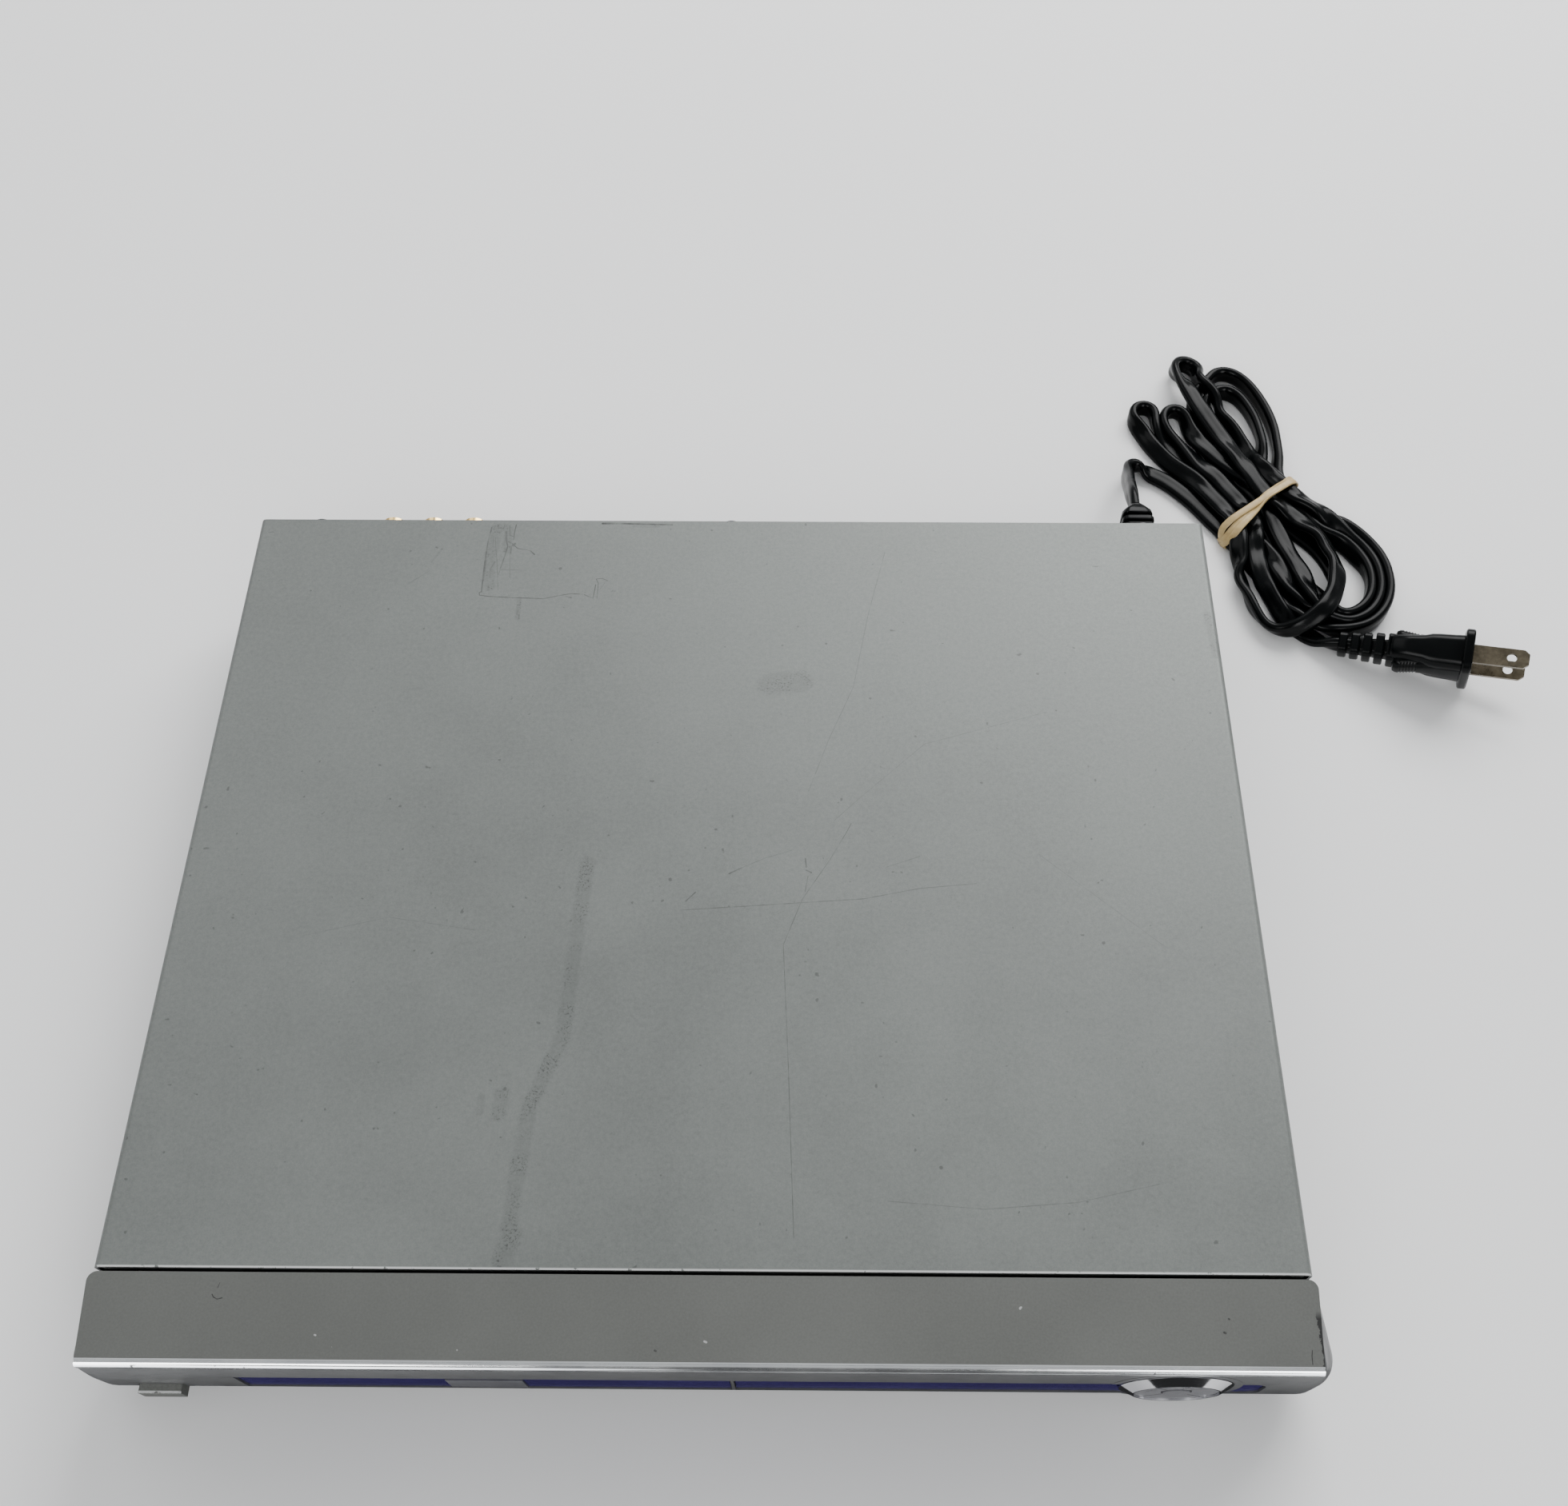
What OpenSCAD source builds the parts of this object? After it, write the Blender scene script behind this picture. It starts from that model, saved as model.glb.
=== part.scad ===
// Slim disc player with a motor-driven tray, sheet-metal case and mains cord.
// Origin: on the surface it stands on, under the centre of the case box. X right, Y back, Z up.
// Inside every module Y is counted from the front edge of the top cover; at_home() moves it.

/* [Case] */
// Width over the top cover
cover_w = 320; // [312:1:340]
// Depth of the top cover
cover_d = 248; // [246:1:280]
// Height from the floor to the top cover
case_h = 46; // [45:0.5:60]
// Height of the rubber feet below the base
foot_h = 6; // [4:0.5:6]
// Sheet thickness of the top cover
cover_t = 0.8; // [0.6:0.1:1]
// Sheet thickness of the base and the rear panel
base_t = 1; // [0.8:0.1:1.2]
// Gap between the bezel and the cover's front edge
cover_gap = 1.1; // [0.6:0.1:2]
// Radius of a rubber foot
foot_r = 9.5; // [7:0.5:12]

/* [Bezel] */
// Depth of the flat plate on top of the bezel
plate_d = 21.6; // [18:0.2:26]
// Height of the top plate
plate_h = 3; // [2.5:0.1:4]
// How much wider the plate is than the cover, on each side
plate_lap = 0.7; // [0.2:0.1:1.5]
// How much narrower the plate is in front than behind, on each side
plate_taper = 1.3; // [0.5:0.1:3]
// Depth of the bright strip in front of the plate
trim_d = 2; // [1.5:0.1:3]
// How far the bezel's sides flare past the cover
side_flare = 10; // [7:0.5:14]
// Wall of the bezel
bezel_wall = 2.2; // [1.8:0.1:2.6]
// Corner radius of the bezel, seen from above
bezel_r = 9.5; // [6:0.5:12]
// Height of the flat front face's lower edge above the base
chin_up = 6; // [4.5:0.5:6]
// How far the chin falls back at the bottom
chin_back = 3.5; // [2:0.5:6]

/* [Tray] */
// Middle of the tray, left of the middle of the case
tray_left = 58.4; // [56:0.2:64]
// How much wider the door is than the tray, on each side
door_lap = 1; // [0.4:0.1:1.4]
// Height of the door
door_h = 14.2; // [14:0.1:15]
// Lower edge of the door above the base
door_up = 7.3; // [7.3:0.1:8]
// Width of the tray
tray_w = 129; // [126:0.5:130]
// Diameter of the disc well
well_d = 121.2; // [120.6:0.2:122]
// Diameter of the small disc well
small_well_d = 81; // [80.6:0.2:82]
// Depth of the disc well below the rim
well_depth = 5; // [4.5:0.1:5.5]

/* [Controls] */
// Middle of the dial, in from the cover's side
dial_side = 34.7; // [32:0.1:40]
// How far the dial's middle is above the middle of the bezel's face
dial_up = 0.9; // [-0.5:0.1:1]
// Radius of the dial ring where it meets the bezel
dial_r = 15; // [13:0.1:15.5]
// Radius of the ring's inner edge
dial_in_r = 11.3; // [10:0.1:12]
// Middle of the power button, in from the cover's side
power_side = 12.8; // [11:0.1:20]
// Width of the power button
power_w = 11.8; // [8:0.2:14]
// Height of the power button
power_h = 6.2; // [4:0.2:7]
// Travel of the power button
power_travel = 1.2; // [0.8:0.1:1.5]
// Travel of the small keys
key_travel = 0.6; // [0.3:0.1:0.8]

/* [Drive] */
// Module of the rack and its pinion
rack_module = 1; // [0.8:0.1:1]
// Teeth of the pinion on the rack
rack_teeth = 18; // [17:1:20]
// Module of the reduction gears
gear_module = 0.8; // [0.6:0.1:0.8]
// Teeth of the big reduction gear
big_teeth = 30; // [28:1:31]
// Teeth of the small reduction gear
small_teeth = 12; // [12:1:13]
// Running radius of the belt on the gear's pulley
pulley_r = 5.8; // [4:0.1:5.8]
// Running radius of the belt on the motor's pulley
motor_pulley_r = 2.5; // [2:0.1:3]
// Tilt of the traverse deck when it is down, in degrees
deck_tilt = 2; // [1:0.1:2]
// Travel of the cam slider
cam_travel = 14; // [12:0.5:16]
// Travel of the pickup sled
sled_travel = 36; // [30:1:38]

/* [Cord] */
// Width of the flat mains cord
cord_w = 7; // [6:0.2:8]
// Middle of the cord's outlet, in from the cover's side
cord_side = 16; // [15:0.5:20]
// Height of the cord's outlet above the base
cord_up = 14; // [12:0.5:20]
// Length of the strain relief behind the rear panel
relief_l = 27.3; // [20:0.1:30]
// Spacing between the plug's blades
blade_gap = 12.7; // [12.5:0.1:12.9]
// Length of a plug blade
blade_l = 17.9; // [15.9:0.1:18.3]

/* [Hidden] */

$fn = 48;
fit = 0.05; // running clearance of pins in bores, on the radius
slip = 0.2; // clearance of sliding and inserted pieces, on each side
play = 0.3; // clearance between separate pieces that only lie near each other
eps = 0.5; // overshoot of a cut

// Case
cover_x = cover_w / 2;
inner_x = cover_x - cover_t;
base_x = inner_x - play;
base_z = foot_h + base_t;
lid_z = case_h - cover_t;
skirt_z = base_z + 1;
lip_h = 6;
panel_y = cover_d - cover_t - base_t;
panel_out = cover_d - cover_t;
flange_h = 12;
front_flange_h = 4.5;
foot_x = cover_x - 26;
foot_front = 22;
foot_back = cover_d - 22;
screw_r = 1.5;
side_screw_z = base_z + 6;
side_screws = [55, cover_d - 45];
rear_screws = [20 - cover_x, 0, cover_x - 20];
rear_screw_z = lid_z - 4;
main_d = 60;
main_y1 = panel_y - 4;
main_y0 = main_y1 - main_d;

// Bezel
plate_x = cover_x + plate_lap;
plate_front_x = plate_x - plate_taper;
plate_y = -cover_gap - plate_d;
plate_z = case_h - plate_h;
trim_y = plate_y - trim_d;
face_y = trim_y + 0.4;
flare_x = cover_x + side_flare;
chin_z = foot_h + chin_up;
flare_z = foot_h + 10;
front_tip = -face_y + 2.4;
slot_gap = 0.3;

// Rear jacks reach as far back as this, and set the middle of the box with the power button
jack_l = 8.5;
rear_tip = panel_out + jack_l;
home_y = -(rear_tip - front_tip) / 2;

// Tray and loader
tray_x = -tray_left;
door_w = tray_w + 2 * door_lap;
door_z = foot_h + door_up;
door_x0 = tray_x - door_w / 2;
door_x1 = tray_x + door_w / 2;
door_front = face_y + 0.5;
door_t = 2.4;
tray_front = door_front + door_t;
frame_back = main_y0 - 10.2;
tray_back = frame_back - 15.4;
rim_z = door_z + door_h - 1.5;
rail_z = rim_z - 10;
floor_t = 2;
well_z = rim_z - well_depth;
spindle_y = tray_front + well_d / 2 + 5;
slot_x = 17;
rib_in = 7.7;
rib_t = 3.2;
rib_z = rail_z - 2.4;
frame_x = tray_w / 2 + slip + 0.4;
frame_t = 2.4;
frame_front = 2;
frame_top = rim_z + 3;
frame_floor = base_z + 1.6;
frame_floor_t = 1.2;
bay_front = 28.2;
ledge_w = 4;
lug_x = frame_x - 3.1;
lug_front = frame_front + 4.2;
lug_back = frame_back - 6;

// Gear train
rack_x = tray_x - tray_w / 2 + rib_in;
rack_r = rack_module * rack_teeth / 2;
big_r = gear_module * big_teeth / 2;
small_r = gear_module * small_teeth / 2;
gear_y = 15;
tray_gear_x = rack_x + rack_r;
pulley_gear_x = tray_gear_x + big_r + small_r;
motor_x = tray_x + frame_x + frame_t + 10.5;
motor_r = 10.2;
low_gear_z = frame_floor + frame_floor_t + 0.4;
low_gear_h = 2.2;
high_gear_z = rib_z;
high_gear_h = 2.4;
post_r = 1.5;
backlash = 0.2;
addendum = 0.8;
dedendum = 1.05;
belt_t = 1;
pulley_z = low_gear_z + low_gear_h + 0.4;
pulley_h = 2.6;

// Traverse deck
deck_x = tray_w / 2 - 18.5;
deck_front = 33;
sled_y = spindle_y + 24;
rod_back = sled_y + sled_travel + 26.8;
hinge_y = rod_back + 7;
deck_back = hinge_y + 2;
cam_y = 29.5;
cam_t = 2;
deck_t = 2;
deck_z = rail_z - 2.6;
hinge_z = deck_z + deck_t / 2;
pin_r = 1.5;
hinge_pin_r = 2;
cam_pin_x = [-20, 14];
cam_drop = (hinge_y - cam_y) * sin(deck_tilt);
platter_z = well_z + 1.2;
platter_r = 12.5;
disc_motor_r = 10;
hub_r = 7.35;
rod_x = 24;
rod_r = 1.5;
rod_z = hinge_z - 0.2;
rod_front = 59;
sled_x = 19;
screw_x = 32;
screw_z = hinge_z - 2;
sled_motor_r = 4.2;
bridge_z = frame_top;
bridge_t = 1.4;
puck_r = 13;
neck_r = 9.2;

// Dial and keys
dial_x = cover_x - dial_side;
dial_z = (foot_h + plate_z) / 2 + dial_up;
ring_base = face_y - 0.3;
ring_front = ring_base - 1.7;
boss_back = face_y + 8;
ring_back = boss_back + 0.8;
key_face = ring_front + 0.5;
key_r = dial_in_r - slip;
center_r = 3.6;
key_gap = 0.5;
board_y = -13;
board_t = 1.6;
switch_d = 3.6;
board_high_z = plate_z - 7;
board_low_z = foot_h + 4.6;
key_tip = board_y - switch_d - key_travel - 0.1;
power_x = -cover_x + power_side;
power_z = foot_h + 7.2;
power_tip = face_y - 2.4;
window_x0 = door_x1 + 1.4;
window_y = face_y + 0.6;
sensor_x1 = dial_x + 24;
surround_r = dial_r + 2.4;
flange_r = surround_r - 0.4;
ring_flat = min(dial_r - 0.3, plate_z - bezel_wall - slip - dial_z);

// Boards and rear
pcb_z = base_z + 5;
pcb_t = 1.6;
pcb_top = pcb_z + pcb_t;
supply_w = 70;
supply_d = 130;
power_x1 = base_x - 4.9;
power_x0 = power_x1 - supply_w;
power_y0 = main_y1 - supply_d;
main_x0 = -base_x + 18.9;
main_x1 = power_x0 - 22;
hole_in = 5;
rear_vent_x = power_x0 - 14;
jack_pitch = 14;
jack_x = main_x0 + 22;
jack_cols = [jack_x, jack_x + jack_pitch, jack_x + 2 * jack_pitch];
jack_flange_r = 5.4;
jack_high = lid_z - lip_h - jack_flange_r - slip;
jack_rows = [(pcb_top + jack_high) / 2 - 3.6, jack_high];
cord_x = cover_x - cord_side;
cord_z = foot_h + cord_up;
gland_r = 5;
wire_r = 1;

// Packages on the main board: corner from the board's front left corner, size. The X of a corner
// is for a board this wide, and spreads with the board.
chips_for_w = 202;
chips = [[96, 8, 28, 28, 2.4], [136, 14, 22, 12, 1.6], [166, 8, 12, 22, 1.6], [64, 14, 16, 10, 1.8],
    [30, 10, 12, 10, 1.8]];
// Plugs on the main board, in the same way
front_plug = [162, 2, 16, 4, 5];
loader_plug = [72, 2, 20, 4, 5];
power_plug = [185, 24, 6, 16, 6];
small_can = [3.2, 9];
small_cans = [[10, 30], [22, 30], [34, 30], [46, 30], [120, 44], [132, 44], [144, 44]];
// Parts on the power board, from its front left corner; a can's radius and height
power_can = [5, 16];
power_cans = [[58, 60], [10, 18], [23, 18], [36, 18]];
big_can = [8, 25];
big_can_at = [58, 38];
coil = [28, 30, 22];
coil_at = [16, 38];
sink = [28, 10, 24];
sink_at = [12, 78];
socket_at = [4, 14];
socket = [4, 16];
jack_r = 4.15;
jack_core_r = 3.3;

// Cord, in the frame of the whole part: points of the lead from the strain relief to the hank
lead_route = [[144, 160, 20], [144, 166, 19.4], [144, 173, 17.2], [144, 180, 13], [144, 186, 8.5],
    [145, 191, 5.2], [148, 195, 4], [152, 196, 4], [156, 194, 4], [160, 190, 4], [164, 186, 4],
    [169, 181, 4]];
lead_sides = 10;
hank_h = 12;
hank_turn = -45;
hank_mid = [193, 170];
upper_loops = [[171, 235], [190, 230]];
upper_r = 15;
lower_loops = [[199, 133], [220, 132]];
lower_r = 17;
loop_end = [214, 113.5];
waist_w = 42;
waist_l = 9;
band_t = 1.2;
band_w = 4.5;
plug_at = [256, 101.5, 12.5];
plug_turn = [7, -6.5, -12];
plug_high = 11.5;
plug_wide = 7.4;
plug_l = 22;
boot_l = 19;

module at_home() {
    translate([0, home_y, 0]) children();
}

module block(x0, x1, y0, y1, z0, z1) {
    translate([x0, y0, z0]) cube([x1 - x0, y1 - y0, z1 - z0]);
}

module pin_x(x0, x1, y, z, r) {
    translate([x0, y, z]) rotate([0, 90, 0]) cylinder(r = r, h = x1 - x0);
}

module pin_y(x, y0, y1, z, r) {
    translate([x, y1, z]) rotate([90, 0, 0]) cylinder(r = r, h = y1 - y0);
}

module pin_z(x, y, z0, z1, r) {
    translate([x, y, z0]) cylinder(r = r, h = z1 - z0);
}

// A flat shape drawn in X and Z, with its depth from y0 to y1
module slab_y(y0, y1) {
    translate([0, y1, 0]) rotate([90, 0, 0]) linear_extrude(y1 - y0) children();
}

module round_rect(w, h, r) {
    square([w - 2 * r, h], center = true);
    square([w, h - 2 * r], center = true);
    for (sx = [-1, 1], sy = [-1, 1]) translate([sx * (w / 2 - r), sy * (h / 2 - r)]) circle(r);
}

// Involute tooth outline: half the tooth's angle at a radius
function inv(a) = tan(a) * 180 / PI - a;
function roll(r, rb) = r <= rb ? 0 : acos(rb / r);
function half_tooth(r, rp, rb, n) =
    90 / n + inv(20) - inv(roll(r, rb)) - backlash / 4 / rp * 180 / PI;
function on_circle(r, a) = [r * cos(a), r * sin(a)];
function gear_outline(m, n) = let (
    rp = m * n / 2,
    rb = rp * cos(20),
    low = rp - dedendum * m,
    tip = rp + addendum * m,
    flank = [max(low, rb), rp, tip]
) [for (i = [0 : n - 1]) let (a = i * 360 / n) each concat(
    [on_circle(low, a - half_tooth(flank[0], rp, rb, n))],
    [for (r = flank) on_circle(r, a - half_tooth(r, rp, rb, n))],
    [for (k = [2 : -1 : 0]) on_circle(flank[k], a + half_tooth(flank[k], rp, rb, n))],
    [on_circle(low, a + half_tooth(flank[0], rp, rb, n))]
)];

module gear(m, n, h, turn) {
    rotate(turn) linear_extrude(h) polygon(gear_outline(m, n));
}

// Rack teeth pointing to +X from the pitch line at x = 0, a gap at y = 0
module rack(m, y0, y1, h) {
    pitch = PI * m;
    first = ceil((y0 + pitch) / pitch);
    last = floor((y1 - pitch) / pitch);
    half = pitch / 4 - backlash / 4;
    linear_extrude(h) polygon(concat(
        [[-rib_t, y1], [-rib_t, y0], [-dedendum * m, y0]],
        [for (i = [first : last]) let (y = (i - 0.5) * pitch) each [
            [-dedendum * m, y - half - dedendum * m * tan(20)],
            [addendum * m, y - half + addendum * m * tan(20)],
            [addendum * m, y + half - addendum * m * tan(20)],
            [-dedendum * m, y + half + dedendum * m * tan(20)]
        ]],
        [[-dedendum * m, y1]]
    ));
}

module screw_z(x, y, z, l) {
    difference() {
        union() {
            pin_z(x, y, z - l, z, screw_r);
            pin_z(x, y, z, z + 1.4, 2.8);
        }
        block(x - 1.8, x + 1.8, y - 0.3, y + 0.3, z + 0.7, z + 2);
        block(x - 0.3, x + 0.3, y - 1.8, y + 1.8, z + 0.7, z + 2);
    }
}

/* ---- Case ---- */

module cover_profile() {
    difference() {
        translate([0, (skirt_z + case_h) / 2]) union() {
            translate([0, -1]) square([cover_w, case_h - skirt_z - 2], center = true);
            translate([0, 1]) square([cover_w - 4, case_h - skirt_z - 2], center = true);
            for (s = [-1, 1]) translate([s * (cover_x - 2), (case_h - skirt_z) / 2 - 2]) circle(2);
        }
        translate([-inner_x, skirt_z - eps]) square([2 * inner_x, lid_z - skirt_z - 1.2 + eps]);
        translate([-inner_x + 1.2, lid_z - 2]) square([2 * inner_x - 2.4, 2]);
        for (s = [-1, 1]) translate([s * (inner_x - 1.2), lid_z - 1.2]) circle(1.2);
    }
}

module top_cover() {
    color("silver") at_home() difference() {
        union() {
            slab_y(0, cover_d) cover_profile();
            block(-inner_x + 1, inner_x - 1, panel_out, cover_d, lid_z - lip_h, lid_z + 0.1);
            block(-inner_x + 1.5, inner_x - 1.5, 0, cover_t, lid_z - 2, lid_z + 0.1);
        }
        for (y = side_screws) pin_x(-cover_x - eps, cover_x + eps, y, side_screw_z, screw_r + slip);
        for (x = rear_screws) pin_y(x, panel_out - eps, cover_d + eps, rear_screw_z, screw_r + slip);
    }
}

module chassis_base() {
    color("lightgray") at_home() difference() {
        union() {
            block(-base_x, base_x, -cover_gap, panel_y, foot_h, base_z);
            for (s = [-1, 1]) block(s > 0 ? base_x - base_t : -base_x, s > 0 ? base_x : base_t - base_x,
                4, panel_y, foot_h, base_z + flange_h);
            block(-base_x, base_x, -cover_gap, base_t - cover_gap, foot_h, base_z + front_flange_h);
            block(-base_x, base_x, panel_y - base_t, panel_y, foot_h, base_z + 3.5);
            for (s = [-1, 1], y = [lug_front, lug_back])
                pin_z(tray_x + s * lug_x, y, foot_h, frame_floor, 3.4);
            for (p = board_holes()) pin_z(p[0], p[1], foot_h, pcb_z, 3);
        }
        for (s = [-1, 1], y = [lug_front, lug_back])
            pin_z(tray_x + s * lug_x, y, foot_h - eps, frame_floor + eps, screw_r + slip);
        for (p = board_holes()) pin_z(p[0], p[1], foot_h - eps, pcb_z + eps, screw_r + slip);
        for (s = [-1, 1], y = [foot_front, foot_back])
            pin_z(s * foot_x, y, foot_h - eps, base_z + eps, 3 + fit);
        for (y = side_screws) for (s = [-1, 1])
            pin_x(s * base_x - 2, s * base_x + 2, y, side_screw_z, screw_r + 0.1);
        for (i = [0 : 9]) block(power_x0 + 12, power_x0 + 42, power_y0 + 10 + i * 9, power_y0 + 13 + i * 9,
            foot_h - eps, base_z + eps);
    }
}

function board_holes() = concat(
    [for (x = [main_x0 + hole_in, main_x1 - hole_in], y = [main_y0 + hole_in, main_y1 - 24]) [x, y]],
    [for (x = [power_x0 + hole_in, power_x1 - hole_in], y = [power_y0 + hole_in, main_y1 - hole_in])
        [x, y]]
);

module rear_panel() {
    color("gainsboro") at_home() difference() {
        block(-base_x, base_x, panel_y, panel_out, base_z, lid_z - 1.3);
        for (x = jack_cols, z = jack_rows) pin_y(x, panel_y - eps, panel_out + eps, z, 4.6);
        pin_y(cord_x, panel_y - eps, panel_out + eps, cord_z, gland_r + fit);
        for (x = rear_screws) pin_y(x, panel_y - eps, panel_out + eps, rear_screw_z, screw_r + 0.1);
        for (i = [0 : 11]) block(rear_vent_x + i * 5, rear_vent_x + 2.5 + i * 5, panel_y - eps,
            panel_out + eps, base_z + 10, base_z + 26);
    }
}

module rubber_feet() {
    color("dimgray") at_home() for (s = [-1, 1], y = [foot_front, foot_back])
        translate([s * foot_x, y, 0]) difference() {
            union() {
                cylinder(r = foot_r, h = foot_h);
                cylinder(r = 3, h = base_z + 0.6);
            }
            translate([0, 0, -eps]) cylinder(r = foot_r - 4, h = 1.5 + eps);
        }
}

module cover_screws() {
    color("darkgray") at_home() {
        for (y = side_screws, s = [-1, 1]) translate([s * cover_x, y, side_screw_z])
            rotate([0, s * 90, 0]) panel_screw();
        for (x = rear_screws) translate([x, cover_d, rear_screw_z]) rotate([-90, 0, 0]) panel_screw();
    }
}

module panel_screw() {
    difference() {
        union() {
            translate([0, 0, -5]) cylinder(r = screw_r, h = 5);
            cylinder(r = 3.2, h = 1.6);
        }
        translate([-2.1, -0.35, 0.8]) cube([4.2, 0.7, 1]);
        translate([-0.35, -2.1, 0.8]) cube([0.7, 4.2, 1]);
    }
}

/* ---- Bezel ---- */

// One level of the bezel: outline at height z, its side at x, front at y, inset by a wall
module level(z, back_x, side_x, y, r, inset) {
    rr = max(r - inset, 0.6);
    back = inset > 0 ? 1 : 0;
    translate([0, 0, z]) linear_extrude(0.01) {
        translate([-back_x + inset, -cover_gap - 1]) square([2 * (back_x - inset), 1 + back]);
        for (s = [-1, 1]) translate([s * (side_x - inset - rr), y + inset + rr]) circle(rr, $fn = 40);
    }
}

module bezel_form(inset) {
    hull() {
        level(plate_z - 0.02 - inset, plate_x, plate_x, face_y, 2.5, inset);
        level(plate_z - 9, plate_x, plate_x + side_flare * 0.42, face_y, 5, inset);
        level(flare_z + 6, plate_x, flare_x - 1, face_y, bezel_r - 1, inset);
        level(flare_z - 3, plate_x, flare_x - 0.5, face_y, bezel_r, inset);
        level(chin_z - 1.5, plate_x, flare_x - 1.5, face_y + 0.6, bezel_r, inset);
        level(foot_h + inset, plate_x - 0.5, flare_x - 5, face_y + chin_back, bezel_r, inset);
    }
}

module dial_cut(r) {
    pin_y(dial_x, face_y - 5, -10, dial_z, r);
}

module window_area(gap) {
    difference() {
        block(window_x0 - gap, dial_x, face_y - 5, -10, door_z - gap, door_z + door_h + gap);
        block(dial_x - 2, dial_x + 5, face_y - 6, -9, 0, case_h);
    }
}

module sensor_area(gap) {
    round_r = 4;
    mid = door_z + door_h / 2;
    x1 = sensor_x1 - round_r;
    difference() {
        union() {
            block(dial_x, x1 + gap, face_y - 5, -10, door_z - gap, door_z + door_h + gap);
            block(dial_x, sensor_x1 + gap, face_y - 5, -10, door_z + round_r, door_z + door_h - round_r);
            for (s = [-1, 1])
                pin_y(x1, face_y - 5, -10, mid + s * (door_h / 2 - round_r), round_r + gap);
        }
        dial_cut(surround_r + slip - gap);
    }
}

module front_bezel() {
    color("silver") at_home() difference() {
        union() {
            difference() {
                bezel_form(0);
                difference() {
                    bezel_form(bezel_wall);
                    block(door_x1 + slot_gap + 0.1, window_x0 - slip, face_y, face_y + 6.3, 0, case_h);
                }
            }
            difference() {
                pin_y(dial_x, face_y - 0.1, boss_back, dial_z, surround_r);
                block(dial_x - surround_r, dial_x + surround_r, -40, 0, plate_z - 0.02, case_h + eps);
                pin_y(dial_x, face_y - 1, boss_back + 1, dial_z, dial_r);
                block(dial_x - 30, dial_x - 8, -40, 0, door_z - slip, door_z + door_h + slip);
            }
            for (p = board_pins_high()) pin_y(p, face_y + 1, board_y, board_high_z, 2.4);
            for (p = board_pins_low()) pin_y(p, face_y + 4, board_y, board_low_z, 2.2);
        }
        block(door_x0 - slot_gap, door_x1 + slot_gap, -40, -10, door_z - slot_gap,
            door_z + door_h + slot_gap);
        window_area(slip);
        sensor_area(slip);
        dial_cut(dial_r + slip);
        block(power_x - power_w / 2 - slip, power_x + power_w / 2 + slip, -40, -12,
            power_z - power_h / 2 - slip, power_z + power_h / 2 + slip);
    }
}

function board_pins_high() = [window_x0 + 12, 90, dial_x + 25];
function board_pins_low() = [window_x0 + 12, 90];

module bezel_top_plate() {
    color("gray") at_home() difference() {
        plate_form(0, plate_z, case_h);
        plate_form(1.6, plate_z - 1, case_h - 1.4);
    }
}

module plate_form(inset, z0, z1) {
    y0 = plate_y + inset;
    y1 = -cover_gap - inset;
    r = 2.5;
    translate([0, 0, z0]) linear_extrude(z1 - z0) {
        polygon([[-plate_front_x + inset, y0], [plate_front_x - inset, y0], [plate_x - inset, y1 - r],
            [plate_x - inset - r, y1], [-plate_x + inset + r, y1], [-plate_x + inset, y1 - r]]);
        for (s = [-1, 1]) translate([s * (plate_x - inset - r), y1 - r]) circle(r);
    }
}

// Bright strip: a thin lip, a groove and a rounded nose
module bezel_trim() {
    nose = trim_d - 0.7;
    color("white") at_home() rotate([90, 0, 90])
        translate([0, 0, -plate_front_x]) linear_extrude(2 * plate_front_x) polygon(concat(
            [[plate_y, plate_z], [plate_y, case_h], [plate_y - 0.4, case_h], [plate_y - 0.4, case_h - 0.5],
                [plate_y - 0.7, case_h - 0.5]],
            [for (a = [90 : 15 : 180]) [plate_y - 0.7 + nose * cos(a), plate_z + 1.4 + 1.4 * sin(a)]],
            [[trim_y, plate_z]]
        ));
}

module display_window() {
    color("mediumpurple") at_home() {
        intersection() {
            difference() {
                window_area(0);
                dial_cut(dial_r + 2 * slip);
            }
            block(0, flare_x, window_y, face_y + bezel_wall, 0, case_h);
        }
        block(window_x0 + 2, dial_x - surround_r - 3, face_y + bezel_wall, face_y + bezel_wall + 1,
            door_z, door_z + door_h + 1.4);
    }
}

module sensor_window() {
    color("rebeccapurple") at_home() {
        intersection() {
            sensor_area(0);
            block(0, flare_x, window_y, face_y + bezel_wall, 0, case_h);
        }
        block(dial_x + surround_r + 0.4, sensor_x1 - 2, face_y + bezel_wall, face_y + bezel_wall + 1,
            door_z + door_h - 5, door_z + door_h + 1.4);
    }
}

module tray_door() {
    color("slateblue") at_home() difference() {
        slab_y(door_front, tray_front) translate([tray_x, door_z + door_h / 2])
            round_rect(door_w, door_h, 0.8);
        block(tray_x - 10.5, tray_x + 10.5, door_front - 1, door_front + 0.6, door_z - 1, door_z + 11);
    }
}

module door_badge() {
    color("gray") at_home() block(tray_x - 10.3, tray_x + 10.3, door_front - 0.3, door_front + 0.6,
        door_z + 0.2, door_z + 10.8);
}

module power_button() {
    stem_end = face_y + 8 - power_travel - 0.1;
    color("silver") at_home() {
        slab_y(power_tip, face_y + 3) translate([power_x, power_z]) round_rect(power_w, power_h, 0.6);
        block(power_x - 2, power_x + 2, face_y + 2, stem_end, power_z - 1.5, power_z + 1.5);
    }
}

module power_switch() {
    floor_z = foot_h + bezel_wall;
    color("dimgray") at_home() {
        block(power_x - 4, power_x + 4, face_y + 9.6, face_y + 18, floor_z + 0.6, power_z + 5);
        block(power_x - 1.6, power_x + 1.6, face_y + 8, face_y + 10, power_z - 1.2, power_z + 1.2);
        block(power_x - 9, power_x + 9, face_y + 8.6, -cover_gap, floor_z, floor_z + 0.8);
    }
}

/* ---- Dial and keys ---- */

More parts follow.
